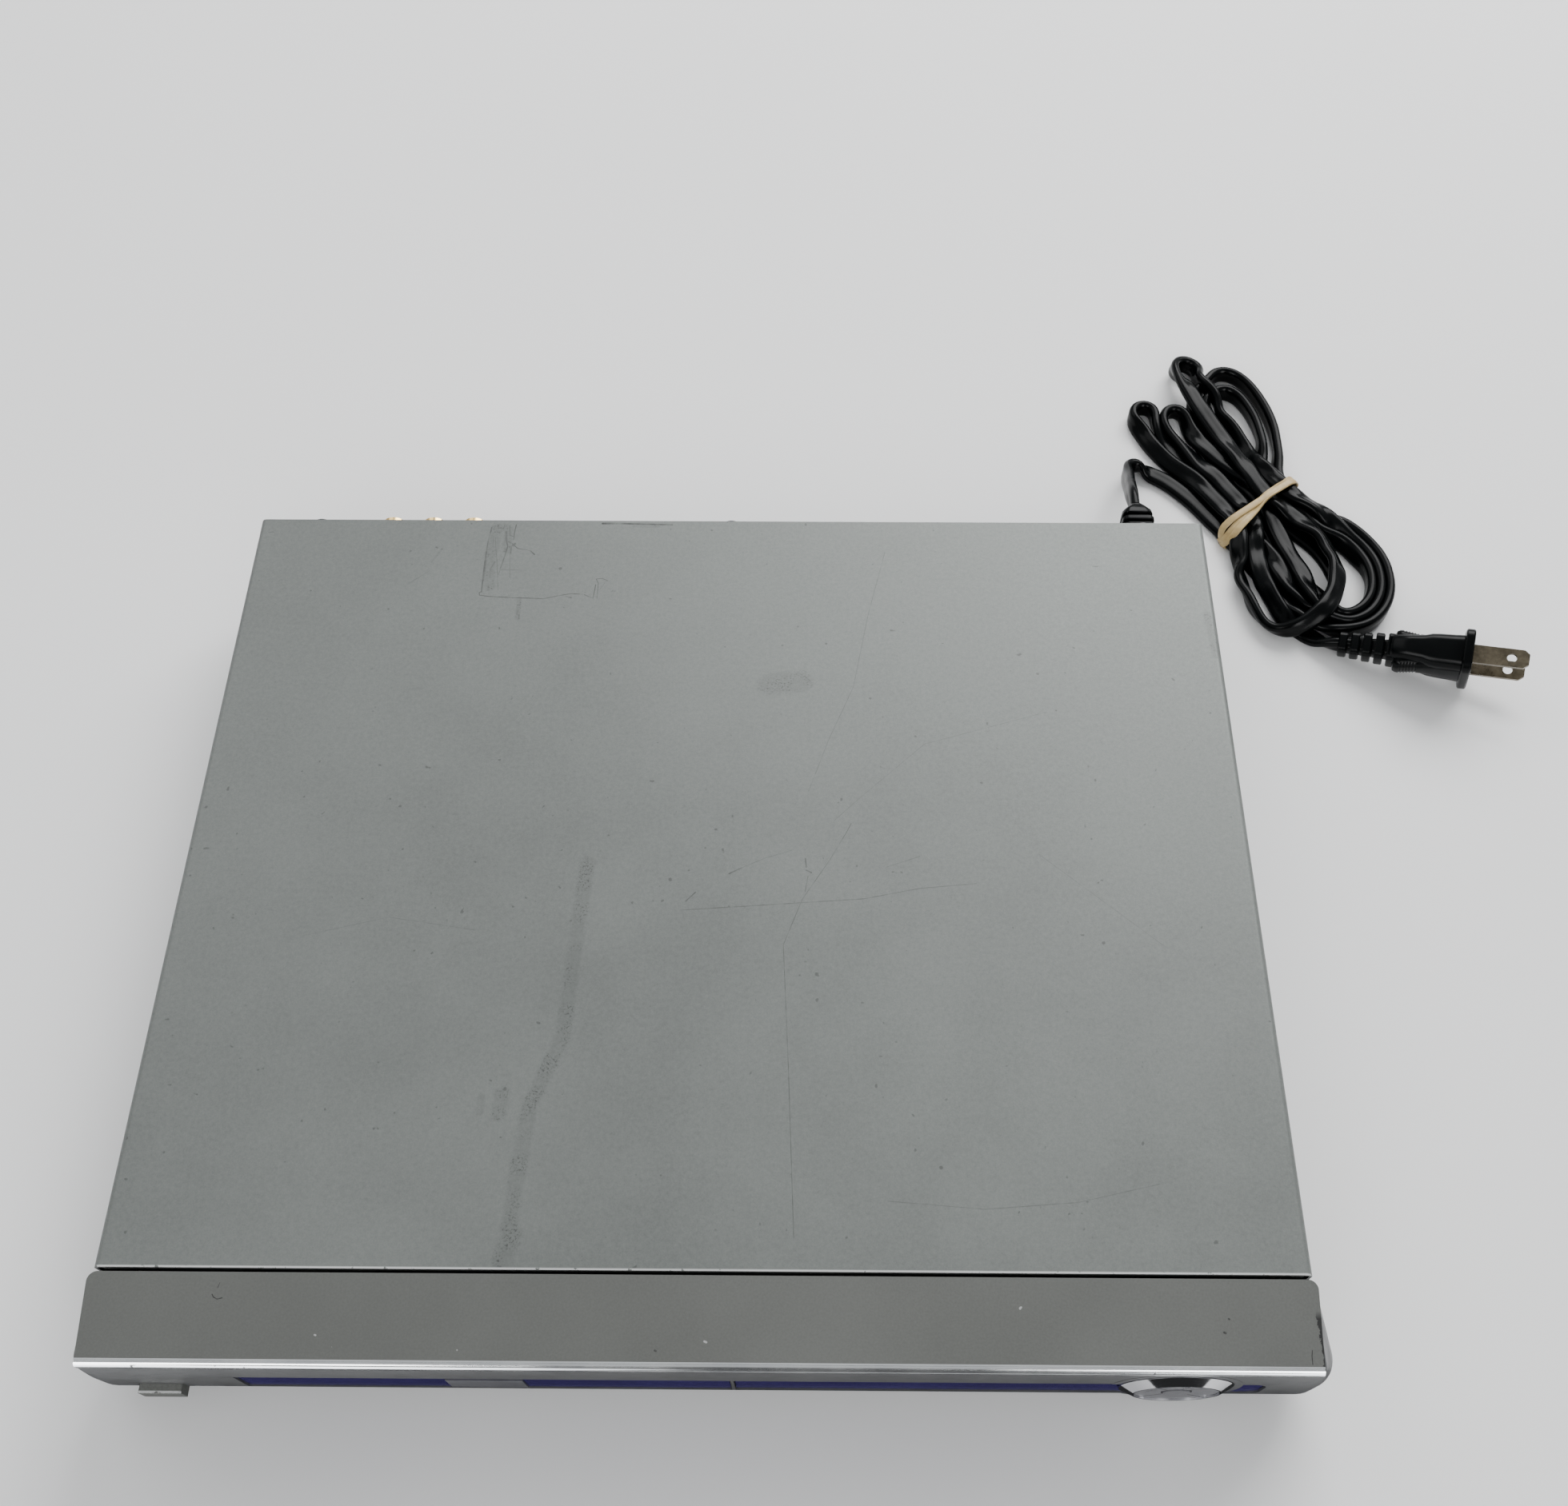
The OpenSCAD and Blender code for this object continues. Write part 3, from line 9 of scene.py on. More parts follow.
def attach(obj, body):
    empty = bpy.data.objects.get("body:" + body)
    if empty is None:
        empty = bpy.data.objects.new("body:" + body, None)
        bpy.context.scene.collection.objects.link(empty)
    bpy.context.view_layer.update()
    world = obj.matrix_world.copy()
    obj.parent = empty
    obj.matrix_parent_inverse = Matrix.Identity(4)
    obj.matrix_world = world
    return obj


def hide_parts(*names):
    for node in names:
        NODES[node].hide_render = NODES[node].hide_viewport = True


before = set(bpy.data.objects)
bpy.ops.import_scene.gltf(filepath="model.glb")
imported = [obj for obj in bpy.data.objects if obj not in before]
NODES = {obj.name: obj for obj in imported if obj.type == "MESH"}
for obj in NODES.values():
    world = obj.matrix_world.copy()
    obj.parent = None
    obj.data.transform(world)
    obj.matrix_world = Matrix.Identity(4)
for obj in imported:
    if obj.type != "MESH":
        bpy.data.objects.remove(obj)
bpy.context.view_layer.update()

# Lengths are in metres. Strokes, meshes and the camera's place are given in millimetres.
MM = 0.001


# ---------------------------------------------------------------- camera

def make_camera():
    """The photograph's camera, solved from the lid's corners, for a 1960 x 1883 picture."""
    wide, focal, mid_x = 1960, 2000.0, 1008.537
    sensor = 36
    place = Vector((29.209, -207.955, 475.954)) * MM
    pitch, roll, yaw = 0.527581, 0.0045432, 0.0114309
    turn = Matrix.Rotation(yaw, 3, "Z")
    right = turn @ Vector((1, 0, 0))
    ahead = turn @ Vector((0, math.sin(pitch), -math.cos(pitch)))
    down = turn @ Vector((0, -math.cos(pitch), -math.sin(pitch)))
    x = math.cos(roll) * right + math.sin(roll) * down
    y = math.sin(roll) * right - math.cos(roll) * down
    cam = bpy.data.objects.new("camera", bpy.data.cameras.new("camera"))
    bpy.context.scene.collection.objects.link(cam)
    m = Matrix((x, y, -ahead)).transposed().to_4x4()
    m.translation = place
    cam.matrix_world = m
    cam.data.sensor_fit = "HORIZONTAL"
    cam.data.sensor_width = sensor
    cam.data.lens = sensor * focal / wide
    cam.data.shift_x = -(mid_x - wide / 2) / wide
    cam.data.clip_start = 0.01
    bpy.context.scene.camera = cam


make_camera()


# ---------------------------------------------------------------- shader nodes

class Nodes:
    """Shader nodes of one tree, wired as they are made."""

    def __init__(self, tree):
        self.tree = tree

    def put(self, value, socket):
        """Links an output to the socket, or sets the socket's constant."""
        if isinstance(value, bpy.types.NodeSocket):
            self.tree.links.new(value, socket)
        elif socket.type == "RGBA":
            socket.default_value = (*value, 1)
        else:
            socket.default_value = value

    def node(self, kind, inputs=None, **settings):
        n = self.tree.nodes.new("ShaderNode" + kind)
        for key, value in settings.items():
            setattr(n, key, value)
        for key, value in (inputs or {}).items():
            self.put(value, n.inputs[key])
        return n

    def math(self, operation, a, b=0.0, c=0.0):
        return self.node("Math", {0: a, 1: b, 2: c}, operation=operation).outputs[0]

    def vector(self, operation, a, b):
        return self.node("VectorMath", {0: a, 1: b}, operation=operation).outputs

    def plus(self, a, b):
        return self.math("ADD", a, b)

    def times(self, a, b):
        return self.math("MULTIPLY", a, b)

    def fit(self, value, low, high, to_low=0.0, to_high=1.0, curve="LINEAR"):
        """The range from low to high mapped to another range, clamped at its ends."""
        inputs = {0: value, 1: low, 2: high, 3: to_low, 4: to_high}
        return self.node("MapRange", inputs, clamp=True, interpolation_type=curve).outputs[0]


class Surface(Nodes):
    """A material: a Principled shader and what feeds it, in the object's own coordinates."""

    def __init__(self, name):
        self.mat = bpy.data.materials.new(name)
        self.mat.use_nodes = True
        super().__init__(self.mat.node_tree)
        self.shader = self.tree.nodes["Principled BSDF"]
        self.place = self.node("TexCoord").outputs["Object"]

    def noise(self, scale, detail=2.0, rough=0.5, stretch=None):
        at = self.place
        if stretch:
            at = self.node("Mapping", {"Vector": at, "Scale": stretch}).outputs[0]
        inputs = {"Vector": at, "Scale": scale, "Detail": detail, "Roughness": rough}
        return self.node("TexNoise", inputs).outputs["Fac"]

    def blend(self, factor, a, b):
        """Colour a at factor 0, colour b at factor 1."""
        return self.node("Mix", {0: factor, 6: a, 7: b}, data_type="RGBA").outputs[2]

    def flat(self):
        """The place seen from above, in millimetres."""
        return self.node("Mapping", {"Vector": self.place, "Scale": (1000, 1000, 0)}).outputs[0]

    def stroke(self, at, points, width):
        """1 on a line through points given in millimetres, fading to 0 at its edges."""
        nearest = None
        for (ax, ay), (bx, by) in zip(points, points[1:]):
            d = Vector((bx - ax, by - ay, 0))
            off = self.vector("SUBTRACT", at, (ax, ay, 0))["Vector"]
            run = self.vector("DOT_PRODUCT", off, d / d.length_squared)["Value"]
            t = self.node("Clamp", {"Value": run}).outputs[0]
            foot = self.node("VectorMath", {0: tuple(d), "Scale": t}, operation="SCALE").outputs[0]
            gap = self.vector("DISTANCE", off, foot)["Value"]
            nearest = gap if nearest is None else self.math("MINIMUM", nearest, gap)
        return self.fit(nearest, width * 0.3, width * 0.55, 1, 0)

    def most(self, masks):
        """The strongest of several masks."""
        total = masks[0]
        for mask in masks[1:]:
            total = self.math("MAXIMUM", total, mask)
        return total

    def axis(self, name):
        return self.node("SeparateXYZ", {0: self.place}).outputs[name]

    def shade(self, **values):
        """Feeds the shader's sockets, named with an underscore for each space."""
        for key, value in values.items():
            self.put(value, self.shader.inputs[key.replace("_", " ")])

    def bump(self, height, strength, distance):
        n = self.node("Bump", {"Strength": strength, "Distance": distance, "Height": height})
        self.shade(Normal=n.outputs[0])


# ---------------------------------------------------------------- materials

def plain(name, dark, light, rough, metal=0.0, grain=900.0, tone=60.0, relief=0.15, stretch=None,
          coat=0.0, spread=0.06, gloss=0.5):
    """A worked surface: colour that drifts between two tones, uneven gloss and a fine relief."""
    s = Surface(name)
    drift = s.noise(tone, 3)
    fine = s.noise(grain, 2, stretch=stretch)
    mix = s.plus(s.times(drift, 0.65), s.times(fine, 0.35))
    s.shade(Base_Color=s.blend(s.fit(mix, 0.36, 0.64), dark, light), Metallic=metal,
            Roughness=s.fit(s.noise(tone * 2.3, 2), 0.3, 0.7, rough - spread, rough + spread),
            Specular_IOR_Level=gloss)
    if coat:
        s.shade(Coat_Weight=coat, Coat_Roughness=0.12)
    s.bump(fine, relief, 0.00004)
    return s.mat


# The lid's front edge and its top.
LID_FRONT, LID_TOP = -0.1145, 0.046
# Scratches in millimetres on the lid's top, each with its width and its depth of tone.
LID_LINES = (
    ([(40, 17.9), (38.6, 15), (33.6, 5.7), (25.4, -7.4), (20, -22), (22, -60),
      (24, -106)], 0.26, 0.55),
    ([(-10.6, -11.2), (7.4, -9.9), (43.5, -7.2), (60.2, -3.7), (77, -2)], 0.3, 0.6),
    ([(3.5, 0.8), (7.1, 2.7)], 0.4, 0.9),
    ([(7.1, 2.7), (14.3, 6.1), (22.1, 8.7)], 0.22, 0.35),
    ([(-9, -8.3), (-6.3, -5.4)], 0.4, 0.7),
    ([(26.2, 5.9), (26.5, 3.1)], 0.5, 0.6),
    ([(26.5, 2.1), (28, 1.3)], 0.5, 0.6),
    ([(27, 0.1), (26.2, -5)], 0.35, 0.5),
    ([(34.9, 18.9), (42, 26.1), (63, 46), (102, 58)], 0.22, 0.35),
    ([(50.5, 3.3), (60.5, 6.9)], 0.26, 0.4),
    ([(52, 121), (46, 95), (41, 67), (33, 47), (27, 29)], 0.26, 0.4),
    ([(49, -96), (75, -98), (100, -96), (122, -91)], 0.26, 0.4),
    ([(-120, -20), (-96, -14), (-70, -18)], 0.22, 0.3),
    ([(96, 8), (131, -22)], 0.22, 0.3),
    ([(-81.7, 103.6), (-82.4, 103.3), (-82.2, 102.2), (-78.9, 101.7), (-71.3, 101.3),
      (-60.9, 100.9), (-56.3, 102.1), (-52.1, 103), (-48.1, 102.8)], 0.35, 0.75),
    ([(-47.5, 102.6), (-46.2, 101.9)], 0.5, 0.95),
    ([(-46.2, 101.9), (-44.6, 101.2), (-44.1, 106.7)], 0.35, 0.7),
    ([(-43.3, 101.2), (-43.3, 107.3), (-44.1, 109), (-42.2, 109.3), (-40.3, 108.4)], 0.3, 0.6),
    ([(-40.8, 108.2), (-42.6, 104.7)], 0.22, 0.35),
    ([(-81.1, 130.4), (-81.7, 124.9), (-81.9, 115.9), (-81.7, 103.6)], 0.5, 0.7),
    ([(-81.7, 118), (-81.7, 108.2)], 0.9, 0.5),
    ([(-72.9, 131.6), (-73.2, 128.6), (-73.2, 125.2)], 0.4, 0.7),
    ([(-75.1, 124.6), (-73.6, 123.7), (-71.4, 121.5), (-68.5, 121.1), (-67, 120.5)], 0.35, 0.7),
    ([(-67, 120.5), (-65.6, 119.1)], 0.5, 0.9),
    ([(-76.8, 131.6), (-77.1, 129.9), (-78.9, 130.3)], 0.4, 0.7),
    ([(-76, 128.6), (-75.6, 124.9)], 0.9, 0.6),
    ([(-75.1, 131), (-74.6, 127.1), (-73.1, 126.5)], 0.35, 0.65),
    ([(-75.6, 124.9), (-74.9, 122.5), (-75.5, 118.3), (-76.4, 113.3)], 0.45, 0.7),
    ([(-79.5, 126.1), (-78.9, 121.9), (-78, 117.1), (-76.3, 104.5)], 0.3, 0.45),
    ([(-74.1, 121.9), (-72.9, 109.5)], 0.25, 0.4),
    ([(-73.7, 122.6), (-73.6, 119.6)], 0.45, 0.6),
    ([(-78.6, 115.9), (-79.7, 112.9), (-79.5, 109.4)], 0.6, 0.4),
    ([(-75.8, 117.1), (-76.8, 110.6)], 0.3, 0.35),
    ([(-76.3, 112.7), (-69, 112.5)], 0.25, 0.4),
    ([(-79.8, 121.3), (-80.1, 126.1)], 0.3, 0.5),
    ([(-43.6, 132.3), (-39.7, 132.3)], 0.9, 0.95),
    ([(-39, 132.3), (-32, 132.2), (-20, 131.9)], 0.7, 0.9),
    ([(-100, 112), (-106, 107)], 0.4, 0.3))
# Rubbed places of the lid, each with its width.
LID_SCUFFS = (
    ([(-39, 4), (-42, -51), (-49.2, -70.4), (-50.8, -88.7), (-51.6, -104.7)], 5.0),
    ([(-50.5, -106), (-52.5, -112)], 6.0),
    ([(-57.1, -67.2), (-57.5, -72.6)], 5.0),
    ([(-62.8, -67.9), (-62.9, -72.3)], 2.5),
    ([(14, 68), (24, 69)], 9.0),
    ([(-79, 130), (-80.5, 118), (-79.5, 106)], 4.5),
    ([(-75.5, 130), (-75, 121)], 3.5),
    ([(-68.9, 101), (-68.7, 93)], 1.8),
    ([(-33, 131.4), (-25, 131.2)], 1.6),
    ([(-99.6, 115.8), (-96.9, 121.2)], 0.8),
    ([(157, 96), (158, 80)], 3.0))


def lid_paint():
    """Pebbled silver paint with traced scratches, scuffs and specks; the bare front rim is painted
    near white as a highlight.
    """
    s = Surface("lid_paint")
    speck = s.noise(2600, 2, 0.6)
    pebble = s.noise(800, 2, 0.5)
    cloud = s.noise(14, 4, 0.6)
    tone = s.plus(s.times(speck, 0.35), s.times(cloud, 0.4))
    tone = s.math("MULTIPLY_ADD", pebble, 0.25, tone)
    color = s.blend(s.fit(tone, 0.35, 0.65), (0.121, 0.130, 0.124), (0.168, 0.181, 0.172))
    at = s.flat()
    lines = s.most([s.times(s.stroke(at, points, width), depth)
                    for points, width, depth in LID_LINES])
    lines = s.times(lines, s.fit(s.noise(300, 2), 0.3, 0.6, 0.3, 1))
    soft = s.most([s.stroke(at, points, width) for points, width in LID_SCUFFS])
    grit = s.fit(s.noise(1500, 3, 0.7), 0.50, 0.62)
    rub = s.times(soft, s.times(grit, s.fit(s.noise(160, 2), 0.35, 0.6)))
    specks = s.fit(s.noise(420, 1), 0.76, 0.80)
    dirt = s.most([s.times(rub, 0.75), s.times(specks, 0.5), s.times(soft, 0.13), lines])
    color = s.blend(dirt, color, (0.035, 0.037, 0.036))
    # Painted highlight: bare metal along the lid's front rim, painted near white, more metallic and
    # glossier, as the light the rim's bend catches.
    rim = s.times(s.fit(s.axis("Y"), LID_FRONT + 0.00015, LID_FRONT + 0.0006, 1, 0),
                  s.fit(s.axis("Z"), LID_TOP - 0.001, LID_TOP - 0.0006))
    bare_rim_highlight = s.times(rim, s.fit(s.noise(500, 3), 0.34, 0.40))
    color = s.blend(bare_rim_highlight, color, (0.86, 0.87, 0.86))
    s.shade(Base_Color=color, Metallic=s.math("MULTIPLY_ADD", bare_rim_highlight, 0.4, 0.4),
            Roughness=s.math("SUBTRACT", s.fit(cloud, 0.3, 0.7, 0.42, 0.52), s.times(bare_rim_highlight, 0.2)))
    s.bump(s.plus(s.times(pebble, 0.7), s.times(speck, 0.3)), 0.3, 0.00005)
    return s.mat


# Dark and light marks of the bezel's flat plate, as for the lid.
PLATE_DARK = (
    ([(-127.1, -121.3), (-126.6, -122), (-125.6, -122.5), (-124.3, -122.2)], 0.3),
    ([(-125.6, -118.4), (-125.9, -119.6)], 0.2),
    ([(134.8, -129), (135.1, -129.1)], 0.7),
    ([(136.3, -125.6), (136.5, -125.7)], 0.5),
    ([(156.7, -133.2), (156.4, -134.6), (156.3, -136.6)], 0.28),
    ([(-11.2, -134.4), (-10.9, -134.5)], 0.6))
PLATE_LIGHT = (([(1.4, -132.1), (1.9, -132.3)], 0.6), ([(-98.8, -131.2), (-98.5, -131.3)], 0.5))


def plate_grey():
    """Fine grey paint with traced marks, light specks and chips on the front of its right edge."""
    s = Surface("plate_grey")
    fine = s.noise(1700, 2, 0.6)
    cloud = s.noise(20, 3)
    tone = s.plus(s.times(fine, 0.6), s.times(cloud, 0.4))
    color = s.blend(s.fit(tone, 0.35, 0.65), (0.092, 0.095, 0.089), (0.110, 0.114, 0.107))
    at = s.flat()
    dark = s.most([s.stroke(at, points, width) for points, width in PLATE_DARK])
    dark = s.times(dark, s.fit(s.noise(900, 2), 0.3, 0.5, 0.45, 0.9))
    ragged = s.math("MULTIPLY_ADD", s.noise(700, 3, 0.7), 0.0022, s.axis("X"))
    chips = s.times(s.fit(ragged, 0.16015, 0.16030), s.fit(s.axis("Y"), -0.1235, -0.1255))
    light = s.most([s.stroke(at, points, width) for points, width in PLATE_LIGHT]
                   + [s.fit(s.noise(360, 1), 0.84, 0.86)])
    color = s.blend(s.most([dark, chips]), color, (0.012, 0.012, 0.012))
    color = s.blend(s.times(light, 0.6), color, (0.5, 0.5, 0.5))
    s.shade(Base_Color=color, Metallic=0.3, Roughness=s.fit(cloud, 0.3, 0.7, 0.42, 0.5))
    s.bump(fine, 0.2, 0.00004)
    return s.mat


def trim_silver():
    """Bright plating, chipped along the front of the strip."""
    s = Surface("trim_silver")
    haze = s.noise(60, 3)
    chips = s.times(s.fit(s.noise(240, 2, 0.6), 0.70, 0.73), s.fit(s.axis("Y"), -0.1386, -0.1389))
    color = s.blend(s.fit(haze, 0.3, 0.7), (0.74, 0.76, 0.77), (0.86, 0.88, 0.88))
    s.shade(Base_Color=s.blend(chips, color, (0.05, 0.05, 0.05)), Metallic=0.9,
            Roughness=s.fit(haze, 0.3, 0.7, 0.12, 0.2))
    s.bump(s.noise(900, 2), 0.04, 0.00002)
    return s.mat


def cord_black():
    """Black cord jacket with a weak, uneven shine."""
    s = Surface("cord_black")
    drift = s.fit(s.noise(90, 3), 0.3, 0.7)
    s.shade(Base_Color=s.blend(drift, (0.0006, 0.0009, 0.0010), (0.0018, 0.0024, 0.0026)),
            Roughness=s.fit(drift, 0, 1, 0.18, 0.28), Specular_IOR_Level=0.09)
    s.bump(s.noise(1500, 2), 0.1, 0.00003)
    return s.mat


def glassy(name, deep, pale, rough):
    """Tinted, opaque glass with faint unevenness."""
    s = Surface(name)
    s.shade(Base_Color=s.blend(s.fit(s.noise(35, 2), 0.3, 0.7), deep, pale),
            Roughness=s.fit(s.noise(220, 3), 0.3, 0.7, rough - 0.03, rough + 0.05),
            Specular_IOR_Level=0.02)
    s.bump(s.noise(700, 2), 0.04, 0.00002)
    return s.mat


def button_grey(button):
    """The button's own grey with a painted highlight: a near-white line along its upper front edge.
    """
    s = Surface("button_grey")
    front = min(corner[1] for corner in button.bound_box)
    top = max(corner[2] for corner in button.bound_box)
    fine = s.noise(1700, 2, 0.6)
    # Painted highlight: the upper front edge is made near white, more metallic and glossier,
    # standing in for the light the edge catches.
    edge = s.times(s.fit(s.axis("Y"), front + 0.00065, front + 0.0005),
                   s.fit(s.axis("Z"), top - 0.0005, top - 0.0004))
    edge = s.times(edge, s.fit(s.noise(500, 3), 0.34, 0.42))
    color = s.blend(s.fit(fine, 0.35, 0.65), (0.135, 0.139, 0.128), (0.175, 0.180, 0.168))
    s.shade(Base_Color=s.blend(edge, color, (0.88, 0.89, 0.88)),
            Metallic=s.math("MULTIPLY_ADD", edge, 0.4, 0.3),
            Roughness=s.math("MULTIPLY_ADD", edge, -0.2, 0.44))
    s.bump(fine, 0.2, 0.00004)
    return s.mat


def floor_white():
    """Matt, nearly even white."""
    s = Surface("floor_white")
    drift = s.fit(s.noise(3, 2), 0.3, 0.7)
    s.shade(Base_Color=s.blend(drift, (0.90, 0.90, 0.90), (0.92, 0.92, 0.92)), Roughness=0.85,
            Specular_IOR_Level=0.0)
    return s.mat


def card_dim():
    """Near black that glows a little, and strongly to both sides of the player's middle."""
    s = Surface("card_dim")
    x = s.axis("X")
    ends = s.most([s.fit(x, -0.02, -0.11), s.fit(x, 0.16, 0.21)])
    ends = s.times(ends, s.fit(s.axis("Y"), -0.16, -0.18))
    s.shade(Base_Color=(0.0, 0.0, 0.0), Specular_IOR_Level=0.0, Emission_Color=(0.95, 0.97, 1.0),
            Emission_Strength=s.fit(ends, 0, 1, 0.03, 4.5))
    return s.mat


# Dark and light tone, roughness and share of metal, and what sets the surface apart.
PLAIN = {
    "bezel_silver": ((0.086, 0.088, 0.090), (0.112, 0.114, 0.116), 0.42, 0.3,
                     dict(grain=1800, gloss=0.3)),
    "badge_grey": ((0.125, 0.125, 0.14), (0.165, 0.165, 0.18), 0.38, 0.3, dict(gloss=0.3)),
    "chrome_trim": ((0.66, 0.66, 0.68), (0.74, 0.74, 0.76), 0.08, 1.0,
                    dict(relief=0.03, spread=0.02)),
    "key_grey": ((0.19, 0.19, 0.205), (0.25, 0.25, 0.265), 0.33, 0.3, {}),
    "base_steel": ((0.36, 0.36, 0.35), (0.46, 0.46, 0.45), 0.36, 0.85, dict(tone=220)),
    "panel_steel": ((0.38, 0.38, 0.37), (0.47, 0.47, 0.46), 0.34, 0.8, dict(tone=180)),
    "bright_steel": ((0.55, 0.55, 0.55), (0.68, 0.68, 0.68), 0.22, 1.0, {}),
    "foot_rubber": ((0.014, 0.014, 0.015), (0.03, 0.03, 0.03), 0.7, 0.0,
                    dict(grain=2200, relief=0.4)),
    "loader_black": ((0.012, 0.012, 0.013), (0.024, 0.024, 0.025), 0.5, 0.0,
                     dict(grain=2500, relief=0.3)),
    "tray_grey": ((0.10, 0.10, 0.105), (0.14, 0.14, 0.145), 0.45, 0.0,
                  dict(grain=2500, relief=0.3)),
    "gear_white": ((0.62, 0.61, 0.57), (0.72, 0.71, 0.67), 0.4, 0.0, {}),
    "belt_rubber": ((0.01, 0.01, 0.01), (0.02, 0.02, 0.02), 0.6, 0.0, {}),
    "board_green": ((0.012, 0.07, 0.03), (0.02, 0.11, 0.045), 0.35, 0.0, dict(tone=420, coat=0.3)),
    "board_tan": ((0.36, 0.22, 0.10), (0.46, 0.29, 0.14), 0.5, 0.0, dict(tone=300)),
    "chip_black": ((0.01, 0.01, 0.011), (0.022, 0.022, 0.024), 0.45, 0.0,
                   dict(grain=3000, relief=0.3)),
    "coil_tape": ((0.55, 0.40, 0.06), (0.68, 0.52, 0.10), 0.4, 0.0, dict(tone=150)),
    "can_sleeve": ((0.012, 0.018, 0.05), (0.02, 0.03, 0.08), 0.3, 0.0, dict(tone=120, coat=0.3)),
    "sink_alu": ((0.55, 0.55, 0.56), (0.66, 0.66, 0.67), 0.32, 1.0, dict(stretch=(1, 1, 0.08))),
    "cable_white": ((0.60, 0.60, 0.57), (0.72, 0.72, 0.69), 0.45, 0.0, {}),
    "wire_mix": ((0.28, 0.01, 0.01), (0.42, 0.02, 0.02), 0.4, 0.0, {}),
    "jack_gold": ((0.75, 0.52, 0.20), (0.88, 0.64, 0.28), 0.2, 1.0, dict(relief=0.05)),
    "jack_yellow": ((0.68, 0.46, 0.02), (0.80, 0.56, 0.04), 0.38, 0.0, {}),
    "jack_white": ((0.66, 0.66, 0.64), (0.78, 0.78, 0.76), 0.38, 0.0, {}),
    "jack_red": ((0.45, 0.02, 0.02), (0.58, 0.035, 0.03), 0.38, 0.0, {}),
    "screw_steel": ((0.42, 0.42, 0.40), (0.55, 0.55, 0.53), 0.3, 1.0, {}),
    "screw_black": ((0.02, 0.02, 0.021), (0.04, 0.04, 0.042), 0.34, 0.6, {}),
    "blade_nickel": ((0.095, 0.080, 0.055), (0.17, 0.145, 0.10), 0.3, 0.9, dict(tone=260)),
    "band_tan": ((0.36, 0.25, 0.10), (0.50, 0.37, 0.17), 0.42, 0.0, dict(grain=700, tone=140)),
}
MATERIALS = {name: plain(name, dark, light, rough, metal, **more)
             for name, (dark, light, rough, metal, more) in PLAIN.items()}
MATERIALS.update(
    lid_paint=lid_paint(), plate_grey=plate_grey(), trim_silver=trim_silver(),
    cord_black=cord_black(),
    smoked_blue=glassy("smoked_blue", (0.029, 0.022, 0.090), (0.037, 0.029, 0.115), 0.12),
    lens_glass=glassy("lens_glass", (0.10, 0.16, 0.30), (0.16, 0.24, 0.40), 0.06),
    floor_white=floor_white(), card_dim=card_dim())


def dress_nodes():
    """Every CAD node takes the material of its own slot."""
    for obj in NODES.values():
        for slot in obj.material_slots:
            key = slot.material.name.split(".")[0] if slot.material else ""
            slot.material = MATERIALS.get(key, slot.material)
    for slot in NODES["power_button"].material_slots:
        slot.material = button_grey(NODES["power_button"])


# ---------------------------------------------------------------- meshes

def add_mesh(name, points, faces, material):
    """A smooth mesh from points in millimetres."""
    mesh = bpy.data.meshes.new(name)
    mesh.from_pydata([tuple(float(c) * MM for c in p) for p in points], [], faces)
    mesh.validate()
    mesh.update()
    obj = bpy.data.objects.new(name, mesh)
    bpy.context.scene.collection.objects.link(obj)
    mesh.materials.append(MATERIALS[material])
    for face in mesh.polygons:
        face.use_smooth = True
    return obj


def skin(rings, closed=False):
    """Points and faces of a skin over rings of equal count; open ends are capped."""
    n, k = len(rings), len(rings[0])
    points = [p for ring in rings for p in ring]
    faces = []
    for i in range(n if closed else n - 1):
        a, b = i * k, (i + 1) % n * k
        faces += [(a + j, a + (j + 1) % k, b + (j + 1) % k, b + j) for j in range(k)]
    if not closed:
        faces += [tuple(range(k - 1, -1, -1)), tuple((n - 1) * k + j for j in range(k))]
    return points, faces


def declare(obj, body, slot, *nodes):
    """Says what body the piece rides on and hides the CAD nodes it stands for; slot is not used."""
    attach(obj, body)
    if nodes:
        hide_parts(*nodes)
    return obj


# ---------------------------------------------------------------- mains cord

CORD_W, CORD_T = 7.0, 3.3
CORE_GAP = CORD_W - CORD_T
# The bundle's middle under the band, and the directions across and along the bundle.
WAIST = (193.0, 170.6)
ACROSS, ALONG = (0.80, 0.60), (0.60, -0.80)


def through_band(c, z, up=False):
    """Two route points of a straight pass under the band, c across the bundle at height z."""
    half = 4.5
    x, y = WAIST[0] + c * ACROSS[0], WAIST[1] + c * ACROSS[1]
    points = [(x + s * ALONG[0], y + s * ALONG[1], z, 0) for s in (-half, half)]
    return points[::-1] if up else points


# Route points are x, y, z and the turn of the flat cord: 0 lies flat, 90 stands on edge.
# LEAD leaves the case and TAIL meets the plug. B, A and C loops are on the plug's side of the
# band, R and U loops on the other side.
LEAD = [(144, 160, 20, 90), (144, 166, 19.6, 90), (144.2, 173, 18.0, 88), (145, 180, 15.0, 80),
        (146.2, 187, 10.6, 60), (148.6, 192.6, 6.4, 35), (152.6, 194.6, 3.4, 12),
        (157, 191.8, 2.0, 0), (162, 187.6, 1.8, 0), (168, 182.2, 1.8, 0), (174.0, 176.4, 2.0, 0),
        (179.4, 169.8, 2.6, 0)]
B_OUTER = [(188.6, 154.5, 2.0, 0), (192.8, 146, 1.8, 0), (197.8, 137, 1.8, 0),
           (203.0, 128.2, 2.0, 20), (209.0, 121.7, 3.0, 60), (216.4, 118.8, 3.7, 90),
           (224.5, 120.4, 3.7, 90), (231.2, 125.8, 3.7, 90), (235.2, 134, 3.7, 90),
           (236.0, 143.6, 3.7, 90), (232.4, 154.0, 3.7, 85), (225.6, 162.4, 3.6, 75),
           (217.5, 169.6, 3.3, 50)]
